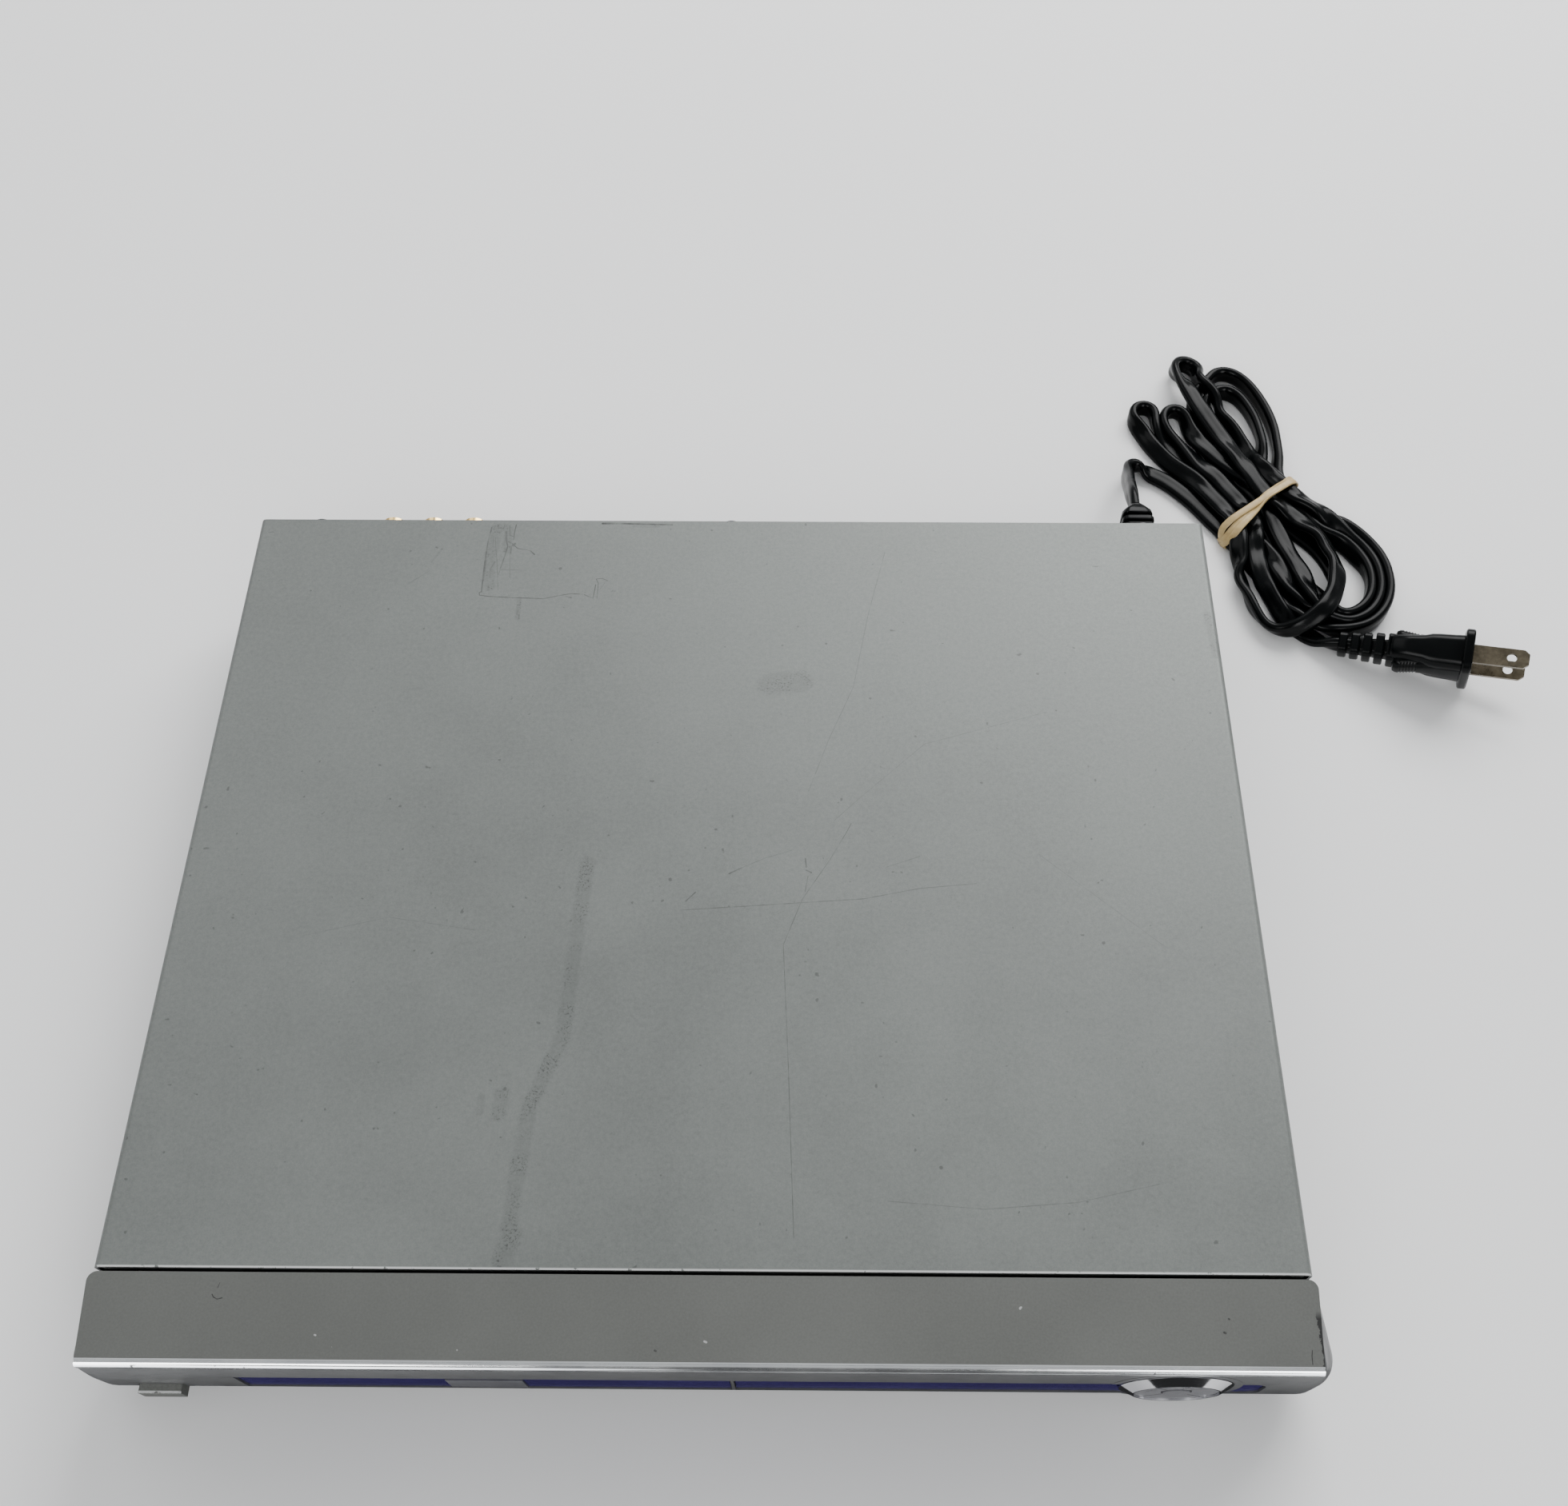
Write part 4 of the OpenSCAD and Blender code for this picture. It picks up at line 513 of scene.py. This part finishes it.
R_OUTER = [(204.4, 184.5, 3.4, 50), (204.2, 193, 3.7, 85), (205.4, 203.5, 3.7, 90),
           (204.8, 216, 3.7, 90), (201.6, 228, 3.7, 90), (196.6, 237.2, 3.7, 90),
           (190.0, 241.8, 3.7, 90), (183.4, 239.4, 3.7, 85), (179.4, 232, 3.4, 60),
           (177.6, 222, 2.6, 25), (178.0, 211, 1.9, 0), (180.6, 200, 1.8, 0), (185, 190, 1.8, 0)]
B_INNER = [(196.5, 156.5, 2.0, 0), (201, 147.5, 1.8, 0), (205.5, 138.5, 2.0, 15),
           (210.7, 131.6, 2.8, 55), (216.8, 127.8, 3.6, 85), (223.6, 127.8, 3.7, 90),
           (229.4, 132.4, 3.7, 90), (231.8, 140.2, 3.7, 90), (230.6, 148.6, 3.7, 90),
           (225.6, 156.8, 3.7, 80), (218.8, 164, 3.5, 60), (211.0, 170.5, 3.0, 30)]
R_INNER = [(198.8, 185.5, 3.4, 45), (198.2, 194, 3.7, 80), (199.6, 204, 3.7, 90),
           (199.0, 214.4, 3.7, 90), (196.4, 223.4, 3.7, 90), (191.8, 230.2, 3.7, 90),
           (186.2, 232.2, 3.7, 85), (182.2, 227.5, 3.6, 60), (181.6, 218.5, 2.6, 20),
           (183.2, 208, 1.9, 0), (186.5, 198, 1.8, 0), (191.0, 188, 2.4, 0)]
C_LOW = [(198.4, 160.0, 5.6, 0), (202.0, 151, 5.2, 0), (205.2, 142, 5.0, 15),
         (207.8, 133.4, 4.6, 50), (212.8, 126.0, 4.2, 80), (219.8, 123.4, 3.8, 90),
         (227.2, 126.6, 3.8, 90), (231.8, 133.2, 3.8, 90), (234.0, 141, 3.8, 90),
         (232.4, 150.4, 4.0, 85), (227.6, 158.8, 5.0, 65), (221.0, 166.2, 6.8, 35),
         (213.8, 173.0, 8.6, 5)]
U2 = [(199.2, 188.0, 8.6, 0), (194.6, 197.4, 6.8, 20), (190.0, 208, 5.4, 45),
      (185.8, 219.5, 4.8, 65), (182.2, 230, 4.6, 80), (179.8, 239, 4.8, 88),
      (177.0, 245.4, 5.6, 88), (173.2, 247.4, 7.2, 78), (170.8, 243.4, 9.0, 58),
      (171.4, 236.4, 10.2, 32), (174.2, 228.0, 10.6, 12), (178.6, 217.6, 10.4, 0),
      (183.6, 206, 10.0, 0), (188.8, 195, 9.8, 0), (194.4, 184.6, 9.7, 0)]
A_TOP = [(207.4, 167.6, 10.0, 6), (212.4, 161.0, 10.4, 16), (215.8, 153.2, 10.6, 28),
         (217.2, 144.6, 10.8, 38), (215.8, 135.8, 10.8, 50), (212.0, 128.4, 10.6, 62),
         (206.6, 122.4, 9.6, 74), (199.6, 118.8, 7.6, 86), (192.6, 120.2, 5.6, 90),
         (187.6, 127.0, 4.2, 90), (185.0, 136.0, 3.8, 90), (184.2, 146.0, 3.9, 86),
         (185.0, 154.6, 5.0, 55)]
U1 = [(178.8, 178.8, 6.0, 0), (172.4, 186.0, 5.6, 0), (165.6, 194.2, 5.2, 5),
      (159.2, 203.4, 5.2, 20), (154.6, 213.0, 5.4, 50), (153.0, 219.6, 5.0, 80),
      (155.8, 224.8, 4.4, 90), (159.6, 221.6, 3.8, 88), (161.4, 213.0, 3.2, 70),
      (165.6, 202.8, 2.4, 40), (172.4, 193.0, 1.9, 10), (180.0, 183.6, 2.2, 0)]
A_LOW = [(192.6, 158.5, 3.4, 0), (196.4, 149, 4.9, 0), (200.6, 139.5, 5.6, 10),
         (205.0, 131.8, 5.0, 45), (210.6, 128.4, 4.0, 80), (215.8, 131.8, 3.7, 88),
         (218.6, 139.4, 3.7, 80), (218.0, 148.6, 3.6, 55), (214.4, 157.4, 3.3, 25),
         (208.4, 165.6, 3.0, 0)]
U3 = [(191.4, 185.0, 3.8, 0), (184.6, 194.0, 4.6, 10), (177.6, 203.8, 5.0, 35),
      (173.0, 213.0, 4.8, 70), (170.6, 220.0, 4.4, 88), (166.8, 222.8, 4.2, 90),
      (163.8, 219.2, 4.0, 88), (164.6, 211.4, 3.8, 70), (168.6, 202.4, 4.2, 35),
      (175.2, 193.4, 5.0, 10), (182.4, 184.0, 5.8, 0)]
TAIL = [(189.0, 160.5, 5.8, 0), (190.8, 150, 5.8, 0), (193.2, 140, 5.2, 0), (196.4, 130.5, 4.2, 0),
        (200.6, 123.4, 2.7, 0), (205.0, 118.2, 2.4, 20), (209.4, 114.4, 3.6, 55),
        (214.1, 112.3, 5.0, 80), (219.7, 110.6, 6.2, 80)]

ROUTE = (LEAD + through_band(-12.5, 2.9) + B_OUTER + through_band(15.5, 3.1, True) + R_OUTER
         + through_band(1, 2.9) + B_INNER + through_band(12.5, 6.5, True) + R_INNER
         + through_band(4, 6.2) + C_LOW + through_band(14.5, 9.8, True) + U2
         + through_band(7.5, 9.7) + A_TOP + through_band(-9.8, 6.3, True) + U1
         + through_band(-5.6, 2.9) + A_LOW + through_band(8, 3.0, True) + U3
         + through_band(-2.8, 6.3) + TAIL)


def even(route, step):
    """The route's smooth curve at even steps, and the length of a step."""
    p = np.array(route, float)
    n = len(p)
    dense = []
    for i in range(n - 1):
        a, b, c, d = p[max(i - 1, 0)], p[i], p[i + 1], p[min(i + 2, n - 1)]
        for t in np.linspace(0, 1, 12, endpoint=False):
            dense.append(0.5 * (2 * b + (c - a) * t + (2 * a - 5 * b + 4 * c - d) * t * t
                                + (3 * b - a - 3 * c + d) * t ** 3))
    dense = np.array(dense + [p[-1]])
    run = np.concatenate([[0], np.cumsum(np.linalg.norm(np.diff(dense[:, :3], axis=0), axis=1))])
    m = int(round(run[-1] / step))
    at = np.linspace(0, run[-1], m + 1)
    line = np.stack([np.interp(at, run, dense[:, k]) for k in range(4)], 1)
    return line, run[-1] / m


def two_cores(line):
    """The middles of the cord's two cores along a line with turns."""
    ahead = np.gradient(line[:, :3], axis=0)
    ahead /= np.linalg.norm(ahead, axis=1)[:, None]
    side = np.cross(ahead, [0, 0, 1.0])
    side /= np.linalg.norm(side, axis=1)[:, None]
    tilt = np.radians(line[:, 3])[:, None]
    wide = side * np.cos(tilt) + np.cross(side, ahead) * np.sin(tilt)
    return np.stack([line[:, :3] - wide * CORE_GAP / 2, line[:, :3] + wide * CORE_GAP / 2], 1)


def settle(cores, step, rounds, hold, chord, held):
    """Lets both cores sink and press each other apart. They keep their length and their distance.
    Points four steps apart stay chord steps apart or more, so that no bend gets sharp. hold draws
    the cores to where they began, and held points at each end don't move."""
    touch, near_by, far_along = CORD_T + 0.05, 5.6, 9
    sink, ease, firm, ground = 0.03, 0.35, 1.2, CORD_T / 2 + 0.12
    n = len(cores)
    p = cores.reshape(-1, 3).copy()
    home = p.copy()
    i = np.arange(n)
    # Pairs of points, their distance and how firmly they keep it.
    links = [(2 * i[:-1] + k, 2 * i[1:] + k, step, 1.0) for k in (0, 1)]
    links.append((2 * i, 2 * i + 1, CORE_GAP, 1.0))
    links += [(2 * i[:-1] + k, 2 * i[1:] + 1 - k, math.hypot(step, CORE_GAP), 0.6) for k in (0, 1)]
    chords = [(2 * i[:-4] + k, 2 * i[4:] + k, chord * step, 0.15) for k in (0, 1)]
    free = np.ones((len(p), 1))
    free[:2 * held] = free[-2 * held:] = 0
    owner = np.repeat(i, 2)
    for turn in range(rounds):
        if turn % 6 == 0:
            sq = (p * p).sum(1)
            near = np.triu(sq[:, None] + sq[None] - 2 * p @ p.T < near_by ** 2, 1)
            a, b = np.nonzero(near)
            keep = np.abs(owner[a] - owner[b]) * step > far_along
            a, b = a[keep], b[keep]
        p += (home - p) * hold * free
        p[:, 2] -= sink * free[:, 0]
        q = p.reshape(n, 2, 3)
        soft = np.zeros_like(q)
        soft[2:-2] = (4 * (q[1:-3] + q[3:-1]) - q[:-4] - q[4:]) / 6 - q[2:-2]
        p += ease * soft.reshape(-1, 3) * free
        for _ in range(3):
            for j, k, rest, pull in links + chords:
                d = p[k] - p[j]
                l = np.maximum(np.linalg.norm(d, axis=1), 1e-9)
                off = l - rest if pull > 0.5 else np.minimum(l - rest, 0)
                move = (off / l * pull * 0.5)[:, None] * d
                np.add.at(p, j, move * free[j])
                np.add.at(p, k, -move * free[k])
            d = p[b] - p[a]
            l = np.maximum(np.linalg.norm(d, axis=1), 1e-6)
            hit = l < touch
            push = ((l[hit] - touch) / l[hit] * 0.5)[:, None] * d[hit]
            count, total = np.zeros(len(p)), np.zeros_like(p)
            for ends, sign in ((a[hit], 1), (b[hit], -1)):
                np.add.at(count, ends, 1)
                np.add.at(total, ends, sign * push)
            p += total / np.maximum(count, 1)[:, None] * firm * free
            p[:, 2] = np.maximum(p[:, 2], ground)
    return p.reshape(-1, 2, 3)


def halve(p):
    """Twice the points, on a smooth curve through them."""
    q = np.concatenate([p[:1], p, p[-1:]])
    out = np.empty((2 * len(p) - 1,) + p.shape[1:])
    out[0::2], out[1::2] = p, (9 * (q[1:-2] + q[2:-1]) - q[:-3] - q[3:]) / 16
    return out


def calm(p, rounds):
    """Takes out ripples and keeps the bends: each round smooths, then swells back."""
    for _ in range(rounds):
        for pull in (0.5, -0.52):
            p[3:-3] += pull * ((p[2:-4] + p[4:-2]) / 2 - p[3:-3])
    return p


def cord_section():
    """The flat cord's outline, as width and thickness: flat faces with a trace of a groove."""
    r = CORD_T / 2
    half = [(CORE_GAP / 2 + r * math.cos(a), r * math.sin(a))
            for a in np.radians((-90, -60, -30, 0, 30, 60, 90))]
    dent = [(0.6, r * 0.985), (0, r * 0.955), (-0.6, r * 0.985)]
    return half + dent + [(-x, -y) for x, y in half] + [(-x, -y) for x, y in dent]


def make_cord():
    """The cord, its middle line and the middles of its two cores."""
    line, step = even(ROUTE, 2.4)
    cores = settle(two_cores(line), step, rounds=240, hold=0.02, chord=3.5, held=3)
    cores = settle(halve(cores), step / 2, rounds=50, hold=0.0, chord=3.9, held=6)
    mid, wide = calm(cores.mean(1), 60), calm(cores[:, 1] - cores[:, 0], 160)
    wide *= CORE_GAP / np.linalg.norm(wide, axis=1)[:, None]
    cores = np.stack([mid - wide / 2, mid + wide / 2], 1)
    cores[:, :, 2] = np.maximum(cores[:, :, 2], CORD_T / 2 + 0.1)
    mid = cores.mean(1)
    ahead = np.gradient(mid, axis=0)
    ahead /= np.linalg.norm(ahead, axis=1)[:, None]
    wide = cores[:, 1] - cores[:, 0]
    wide -= ahead * (wide * ahead).sum(1)[:, None]
    wide /= np.linalg.norm(wide, axis=1)[:, None]
    thick = np.cross(ahead, wide)
    rings = [[c + w * u + t * v for u, v in cord_section()] for c, w, t in zip(mid, wide, thick)]
    cord = add_mesh("mains_cord", *skin(rings), "cord_black")
    declare(cord, "case", "cord_black", "cord_lead", "cord_hank")
    return cord, mid, cores


cord, cord_mid, cord_cores = make_cord()


# ---------------------------------------------------------------- pieces on the cord

def round_ring(x, wide, high, r, place):
    """A rounded rectangle across the local X axis."""
    steps = 6
    ring = []
    for k in range(4):
        cy = (wide / 2 - r) * (1 if k in (0, 3) else -1)
        cz = (high / 2 - r) * (1 if k in (0, 1) else -1)
        for i in range(steps):
            a = math.pi / 2 * (k + i / (steps - 1))
            ring.append(place((x, cy + r * math.cos(a), cz + r * math.sin(a))))
    return ring


def loft(name, material, stations, place):
    """A skin over rounded rectangles given as x, width, height and corner radius."""
    return add_mesh(name, *skin([round_ring(*s, place) for s in stations]), material)


def crisp(obj):
    """Edges stay sharp where faces meet at a wide angle."""
    sharp = math.radians(32)
    bm = bmesh.new()
    bm.from_mesh(obj.data)
    bmesh.ops.recalc_face_normals(bm, faces=bm.faces)
    for e in bm.edges:
        e.smooth = not (len(e.link_faces) == 2 and e.calc_face_angle(0) > sharp)
    bm.to_mesh(obj.data)
    bm.free()
    return obj


def join(name, parts):
    """One object out of several with the same material."""
    bm = bmesh.new()
    for part in parts:
        bm.from_mesh(part.data)
    mesh = bpy.data.meshes.new(name)
    bm.to_mesh(mesh)
    bm.free()
    mesh.materials.append(parts[0].data.materials[0])
    for part in parts:
        bpy.data.objects.remove(part)
    obj = bpy.data.objects.new(name, mesh)
    bpy.context.scene.collection.objects.link(obj)
    return obj


def rib_stations(x0, pitch, count, rib, sizes):
    """Stations of ribs with softened edges and slots between them. sizes gives a rib's and its
    core's width and height by how far along it is."""
    out = []
    for i in range(count):
        x = x0 + i * pitch
        w, h, core_w, core_h = sizes(i / (count - 1))
        out += [(x, core_w, core_h, 1.6), (x + 0.02, w - 0.7, h - 0.7, 1.9), (x + 0.4, w, h, 2.2),
                (x + rib - 0.4, w, h, 2.2), (x + rib - 0.02, w - 0.7, h - 0.7, 1.9),
                (x + rib, core_w, core_h, 1.6)]
    return out


def make_strain_relief():
    """A collar on the rear panel, six ribs that get thinner, and a bulb round the cord."""
    x, y, z = 144.0, 132.7, 20.0
    collar = [(-4.2, 8.6, 8.6, 3.0), (0, 8.6, 8.6, 3.0), (0.01, 12.4, 11.8, 3.0),
              (0.5, 13.0, 12.4, 3.2), (2.2, 13.0, 12.4, 3.2), (2.7, 12.2, 11.6, 3.0),
              (2.75, 8.8, 8.8, 2.4)]
    ribs = rib_stations(3.8, 3.1, 6, 2.0,
                        lambda t: (12.2 - 0.9 * t, 11.6 - 0.8 * t, 8.6 - t, 8.8 - 0.4 * t))
    bulb = [(22.6, 7.4, 8.2, 2.0), (22.62, 10.2, 9.8, 2.2), (23.0, 11.0, 10.4, 2.6),
            (24.4, 10.6, 10.2, 2.8), (26.2, 7.4, 9.4, 2.6), (27.2, 5.2, 8.4, 2.0),
            (27.6, 4.4, 7.8, 1.6)]
    relief = loft("cord_relief", "cord_black", collar + ribs + bulb,
                  lambda p: (x - p[1], y + p[0], z + p[2]))
    return declare(crisp(relief), "case", "cord_black", "strain_relief")


def plug_place():
    """From the plug's own axes, with X towards the blades, to where it lies."""
    turn = (Matrix.Rotation(math.radians(-17), 3, "Z") @ Matrix.Rotation(math.radians(-12), 3, "Y")
            @ Matrix.Rotation(math.radians(18), 3, "X"))
    at = Vector((252.4, 100.6, 13.6))
    return lambda p: tuple(turn @ Vector(p) + at)


def make_plug():
    """A ribbed boot, a grip of two wings with fine ridges across a block, and a flange."""
    place = plug_place()
    boot = rib_stations(-41, 4.1, 5, 3.0,
                        lambda t: (7.8 + 2.2 * t, 8.2 + 2.8 * t, 5.2 + t, 5.6 + 1.4 * t))
    boot += [(-21.4, 6.2, 7.0, 1.6)]
    wings = [(-22.4, 11.6, 6.0, 2.2), (-22.0, 13.4, 8.0, 2.6), (-21.0, 14.2, 9.0, 2.8)]
    for i in range(6):
        x, w = -20.0 + i, 14.2 - 0.28 * i
        wings += [(x, w, 9.4, 2.8), (x + 0.3, w - 0.6, 9.4, 2.8), (x + 0.6, w - 0.6, 9.4, 2.8),
                  (x + 0.85, w - 0.1, 9.4, 2.8)]
    wings += [(-12, 12.3, 10.6, 3.0), (-8, 12.3, 12.6, 3.2), (-3, 12.9, 14.6, 3.4),
              (0.5, 13.2, 15.6, 3.4)]
    block = [(-24.2, 6.6, 9.6, 2.6), (-23.8, 8.0, 12.4, 3.0), (-22.6, 8.6, 14.6, 3.0),
             (-18, 8.8, 16.4, 2.8), (-13, 9.8, 17.0, 2.8), (-10.6, 11.4, 17.4, 3.0),
             (-8, 12.0, 17.6, 3.2), (-3, 12.4, 18.4, 3.4), (0.5, 12.8, 19.0, 3.4)]
    flange = [(-0.3, 13.6, 20.0, 3.0), (0, 15.2, 23.2, 3.4), (0.4, 16.0, 24.0, 3.8),
              (2.4, 16.0, 24.0, 3.8), (2.85, 15.4, 23.4, 3.5), (3.0, 14.6, 22.6, 3.2),
              (2.7, 13.2, 21.2, 2.6)]
    parts = [loft("plug_bit", "cord_black", stations, place)
             for stations in (boot, wings, block, flange)]
    return declare(crisp(join("mains_plug", parts)), "case", "cord_black", "plug_body")


def make_blades():
    """Two flat blades, each with a round hole."""
    place = plug_place()
    x0, x1, half, tip, thick, apart = 2.0, 20.9, 3.2, 1.7, 0.75, 6.35
    hole_x, hole_r = 15.4, 1.6
    outline = [(x0, -half), (x1 - tip, -half), (x1, -half + tip * 0.8), (x1, half - tip * 0.8),
               (x1 - tip, half), (x0, half)]
    angles = [math.atan2(y, x - hole_x) for x, y in outline]
    angles = sorted(angles + [math.radians(a) for a in range(-175, 180, 10)])

    def edge_at(a):
        """Where a ray from the hole's middle meets the outline."""
        c, s = math.cos(a), math.sin(a)
        best = 1e9
        for (ax, ay), (bx, by) in zip(outline, outline[1:] + outline[:1]):
            dx, dy = bx - ax, by - ay
            det = c * dy - s * dx
            if abs(det) > 1e-9:
                t = ((ax - hole_x) * dy - ay * dx) / det
                u = ((ax - hole_x) * s - ay * c) / det
                if t > 0 and -1e-6 <= u <= 1 + 1e-6:
                    best = min(best, t)
        return hole_x + best * c, best * s

    rim = [edge_at(a) for a in angles]
    hole = [(hole_x + hole_r * math.cos(a), hole_r * math.sin(a)) for a in angles]
    points, faces = [], []
    for side in (-1, 1):
        low, high = side * apart - thick, side * apart + thick
        start, n = len(points), len(angles)
        for ring, z in ((rim, low), (rim, high), (hole, high), (hole, low)):
            points += [place((x, y, z)) for x, y in ring]
        for k in range(4):
            a, b = start + k * n, start + (k + 1) % 4 * n
            faces += [(a + j, a + (j + 1) % n, b + (j + 1) % n, b + j) for j in range(n)]
    blades = add_mesh("plug_blades", points, faces, "blade_nickel")
    return declare(crisp(blades), "case", "bright_steel")


def hull_around(spots):
    """Convex hull of flat points, counterclockwise."""
    ordered = sorted(map(tuple, spots))
    halves = []
    for run in (ordered, ordered[::-1]):
        part = []
        for p in run:
            while len(part) > 1 and ((part[-1][0] - part[-2][0]) * (p[1] - part[-2][1])
                                     - (part[-1][1] - part[-2][1]) * (p[0] - part[-2][0])) <= 0:
                part.pop()
            part.append(p)
        halves.append(part[:-1])
    return np.array(halves[0] + halves[1])


def loop_round_bundle(count):
    """A taut loop round the cord's passes under the band, as places across and up."""
    core_r = 1.7
    flat = cord_cores.reshape(-1, 3) - (*WAIST, 0)
    c, s = flat[:, :2] @ np.array(ACROSS), flat[:, :2] @ np.array(ALONG)
    near = (np.abs(s) < 4) & (np.abs(c) < 30)
    middles = np.stack([c[near], flat[near, 2]], 1)
    spots = [(x + core_r * math.cos(a), z + core_r * math.sin(a)) for x, z in middles[::2]
             for a in np.linspace(0, 2 * math.pi, 12, endpoint=False)]
    hull = hull_around(spots)
    closed = np.concatenate([hull, hull[:1]])
    run = np.concatenate([[0], np.cumsum(np.linalg.norm(np.diff(closed, axis=0), axis=1))])
    at = np.linspace(0, run[-1], count, endpoint=False)
    loop = np.stack([np.interp(at, run, closed[:, k]) for k in (0, 1)], 1)
    for _ in range(3):
        loop = (np.roll(loop, 1, 0) + 2 * loop + np.roll(loop, -1, 0)) / 4
    return loop


def band_over(turn, t):
    """Where a turn of the band lies along the bundle's top, its lift and its twist in degrees;
    t runs from left to right."""
    if turn == 0:
        return -2.2 + 1.6 * t, 1.25, 0.0
    if turn == 1:
        return 3.6 - 6.0 * t ** 0.8, 0.7 + 0.5 * t, 75 * math.exp(-((t - 0.55) / 0.16) ** 2)
    return 1.2 - 4.0 * min(1, t * 1.6) + 1.0 * t, 0.5, -55 * math.exp(-((t - 0.86) / 0.1) ** 2)


def band_under(turn, t):
    """Where a turn lies along the bundle's underside, and its lift."""
    return (-1.5, 0.5, 0.5)[turn] + (0.6 - t) * (1.6, 2.4, 1.0)[turn], 0.45 + 0.35 * turn


def make_band():
    """One flat rubber band in three turns round the bundle."""
    turns, count, sides, half_w, half_t = 3, 72, 12, 1.35, 0.42
    loop = loop_round_bundle(count)
    low, high = loop[:, 0].min(), loop[:, 0].max()
    centre = loop.mean(0)
    rings = []
    for i in range(turns * count):
        j, turn = i % count, i // count
        x, z = loop[j]
        ahead = loop[(j + 1) % count] - loop[j - 1]
        ahead /= np.linalg.norm(ahead)
        out = np.array([ahead[1], -ahead[0]])
        t = (x - low) / (high - low)
        # How much the place belongs to the top of the bundle and not to its underside.
        weight = 1 / (1 + math.exp(-(z - centre[1]) * 1.6))
        top_s, top_up, top_twist = band_over(turn, t)
        low_s, low_up = band_under(turn, t)
        where = top_s * weight + low_s * (1 - weight)
        lift = top_up * weight + low_up * (1 - weight)
        twist = math.radians(top_twist * weight)
        ring = []
        for a in np.linspace(0, 2 * math.pi, sides, endpoint=False):
            u = half_w * abs(math.cos(a)) ** 0.5 * (1 if math.cos(a) > 0 else -1)
            v = half_t * abs(math.sin(a)) ** 0.7 * (1 if math.sin(a) > 0 else -1)
            along = where + u * math.cos(twist) - v * math.sin(twist)
            rise = max(lift + u * math.sin(twist) + v, 0.05)
            cx, cz = x + out[0] * rise, max(z + out[1] * rise, 0.1)
            ring.append((WAIST[0] + cx * ACROSS[0] + along * ALONG[0],
                         WAIST[1] + cx * ACROSS[1] + along * ALONG[1], cz))
        rings.append(ring)
    band = add_mesh("cord_band", *skin(rings, closed=True), "band_tan")
    smooth = band.modifiers.new("soft", "SMOOTH")
    smooth.factor, smooth.iterations = 0.4, 3
    return declare(band, "case", "band_tan", "rubber_band")


on_cord = [make_strain_relief(), make_plug(), make_blades(), make_band()]

dress_nodes()


# ---------------------------------------------------------------- floor and light

def make_stage():
    """The floor, and a card on it in front of the player that only reflections see: it stands for
    the room's dark ground and bright sides in the chrome and the windows."""
    far = 9000
    floor = add_mesh("floor", [(-far, -far, 0), (far, -far, 0), (far, far, 0), (-far, far, 0)],
                     [(0, 1, 2, 3)], "floor_white")
    corners = [(x, y, 0.5) for y in (-800, -188, -149, -135) for x in (-600, 700)]
    dim = add_mesh("card", corners, [(0, 1, 3, 2), (4, 5, 7, 6)], "card_dim")
    dim.visible_camera = dim.visible_diffuse = dim.visible_shadow = dim.visible_transmission = False


def add_light(name, place, aim, size, power, only=""):
    """A lamp aimed at a point; only limits it to the diffuse or the glossy light."""
    lamp = bpy.data.lights.new(name, "AREA")
    lamp.shape = "RECTANGLE"
    lamp.size, lamp.size_y = size
    lamp.energy = power
    obj = bpy.data.objects.new(name, lamp)
    bpy.context.scene.collection.objects.link(obj)
    obj.location = place
    obj.visible_diffuse, obj.visible_glossy = only != "glossy", only != "diffuse"
    obj.rotation_euler = (Vector(aim) - Vector(place)).to_track_quat("-Z", "Y").to_euler()


def make_sky():
    """An even sky, brighter behind the player, with a dark figure standing in front."""
    world = bpy.data.worlds.new("studio")
    bpy.context.scene.world = world
    world.use_nodes = True
    sky = Nodes(world.node_tree)
    toward = sky.node("SeparateXYZ", {0: sky.node("TexCoord").outputs["Generated"]}).outputs
    aside, behind = sky.math("ABSOLUTE", toward["X"]), toward["Y"]
    figure = sky.times(sky.fit(aside, 0.07, 0.28, 0.50, 0.0, "SMOOTHSTEP"),
                       sky.fit(behind, -0.12, -0.35, 0.0, 1.0, "SMOOTHSTEP"))
    glow = sky.fit(behind, -0.2, 0.75, 0.52, 0.68, "SMOOTHSTEP")
    back = sky.tree.nodes["Background"]
    sky.put((0.96, 0.98, 1), back.inputs["Color"])
    sky.put(sky.math("SUBTRACT", glow, figure), back.inputs["Strength"])


def make_light():
    make_sky()
    add_light("key", (0.62, 1.35, 1.15), (0, 0.2, 0), (1.5, 1.0), 44)
    add_light("fill", (-1.1, 1.1, 1.4), (0, 0.15, 0), (1.2, 1.2), 7)
    add_light("front", (0, -1.3, 1.1), (0, -0.15, 0), (1.8, 0.8), 13, only="diffuse")
    add_light("front_left", (-0.74, -0.98, 0.62), (-0.05, -0.14, 0.03), (0.55, 1.15), 15,
              only="glossy")
    add_light("front_right", (0.66, -1.0, 0.62), (0.08, -0.14, 0.03), (0.5, 1.15), 15,
              only="glossy")


make_stage()
make_light()
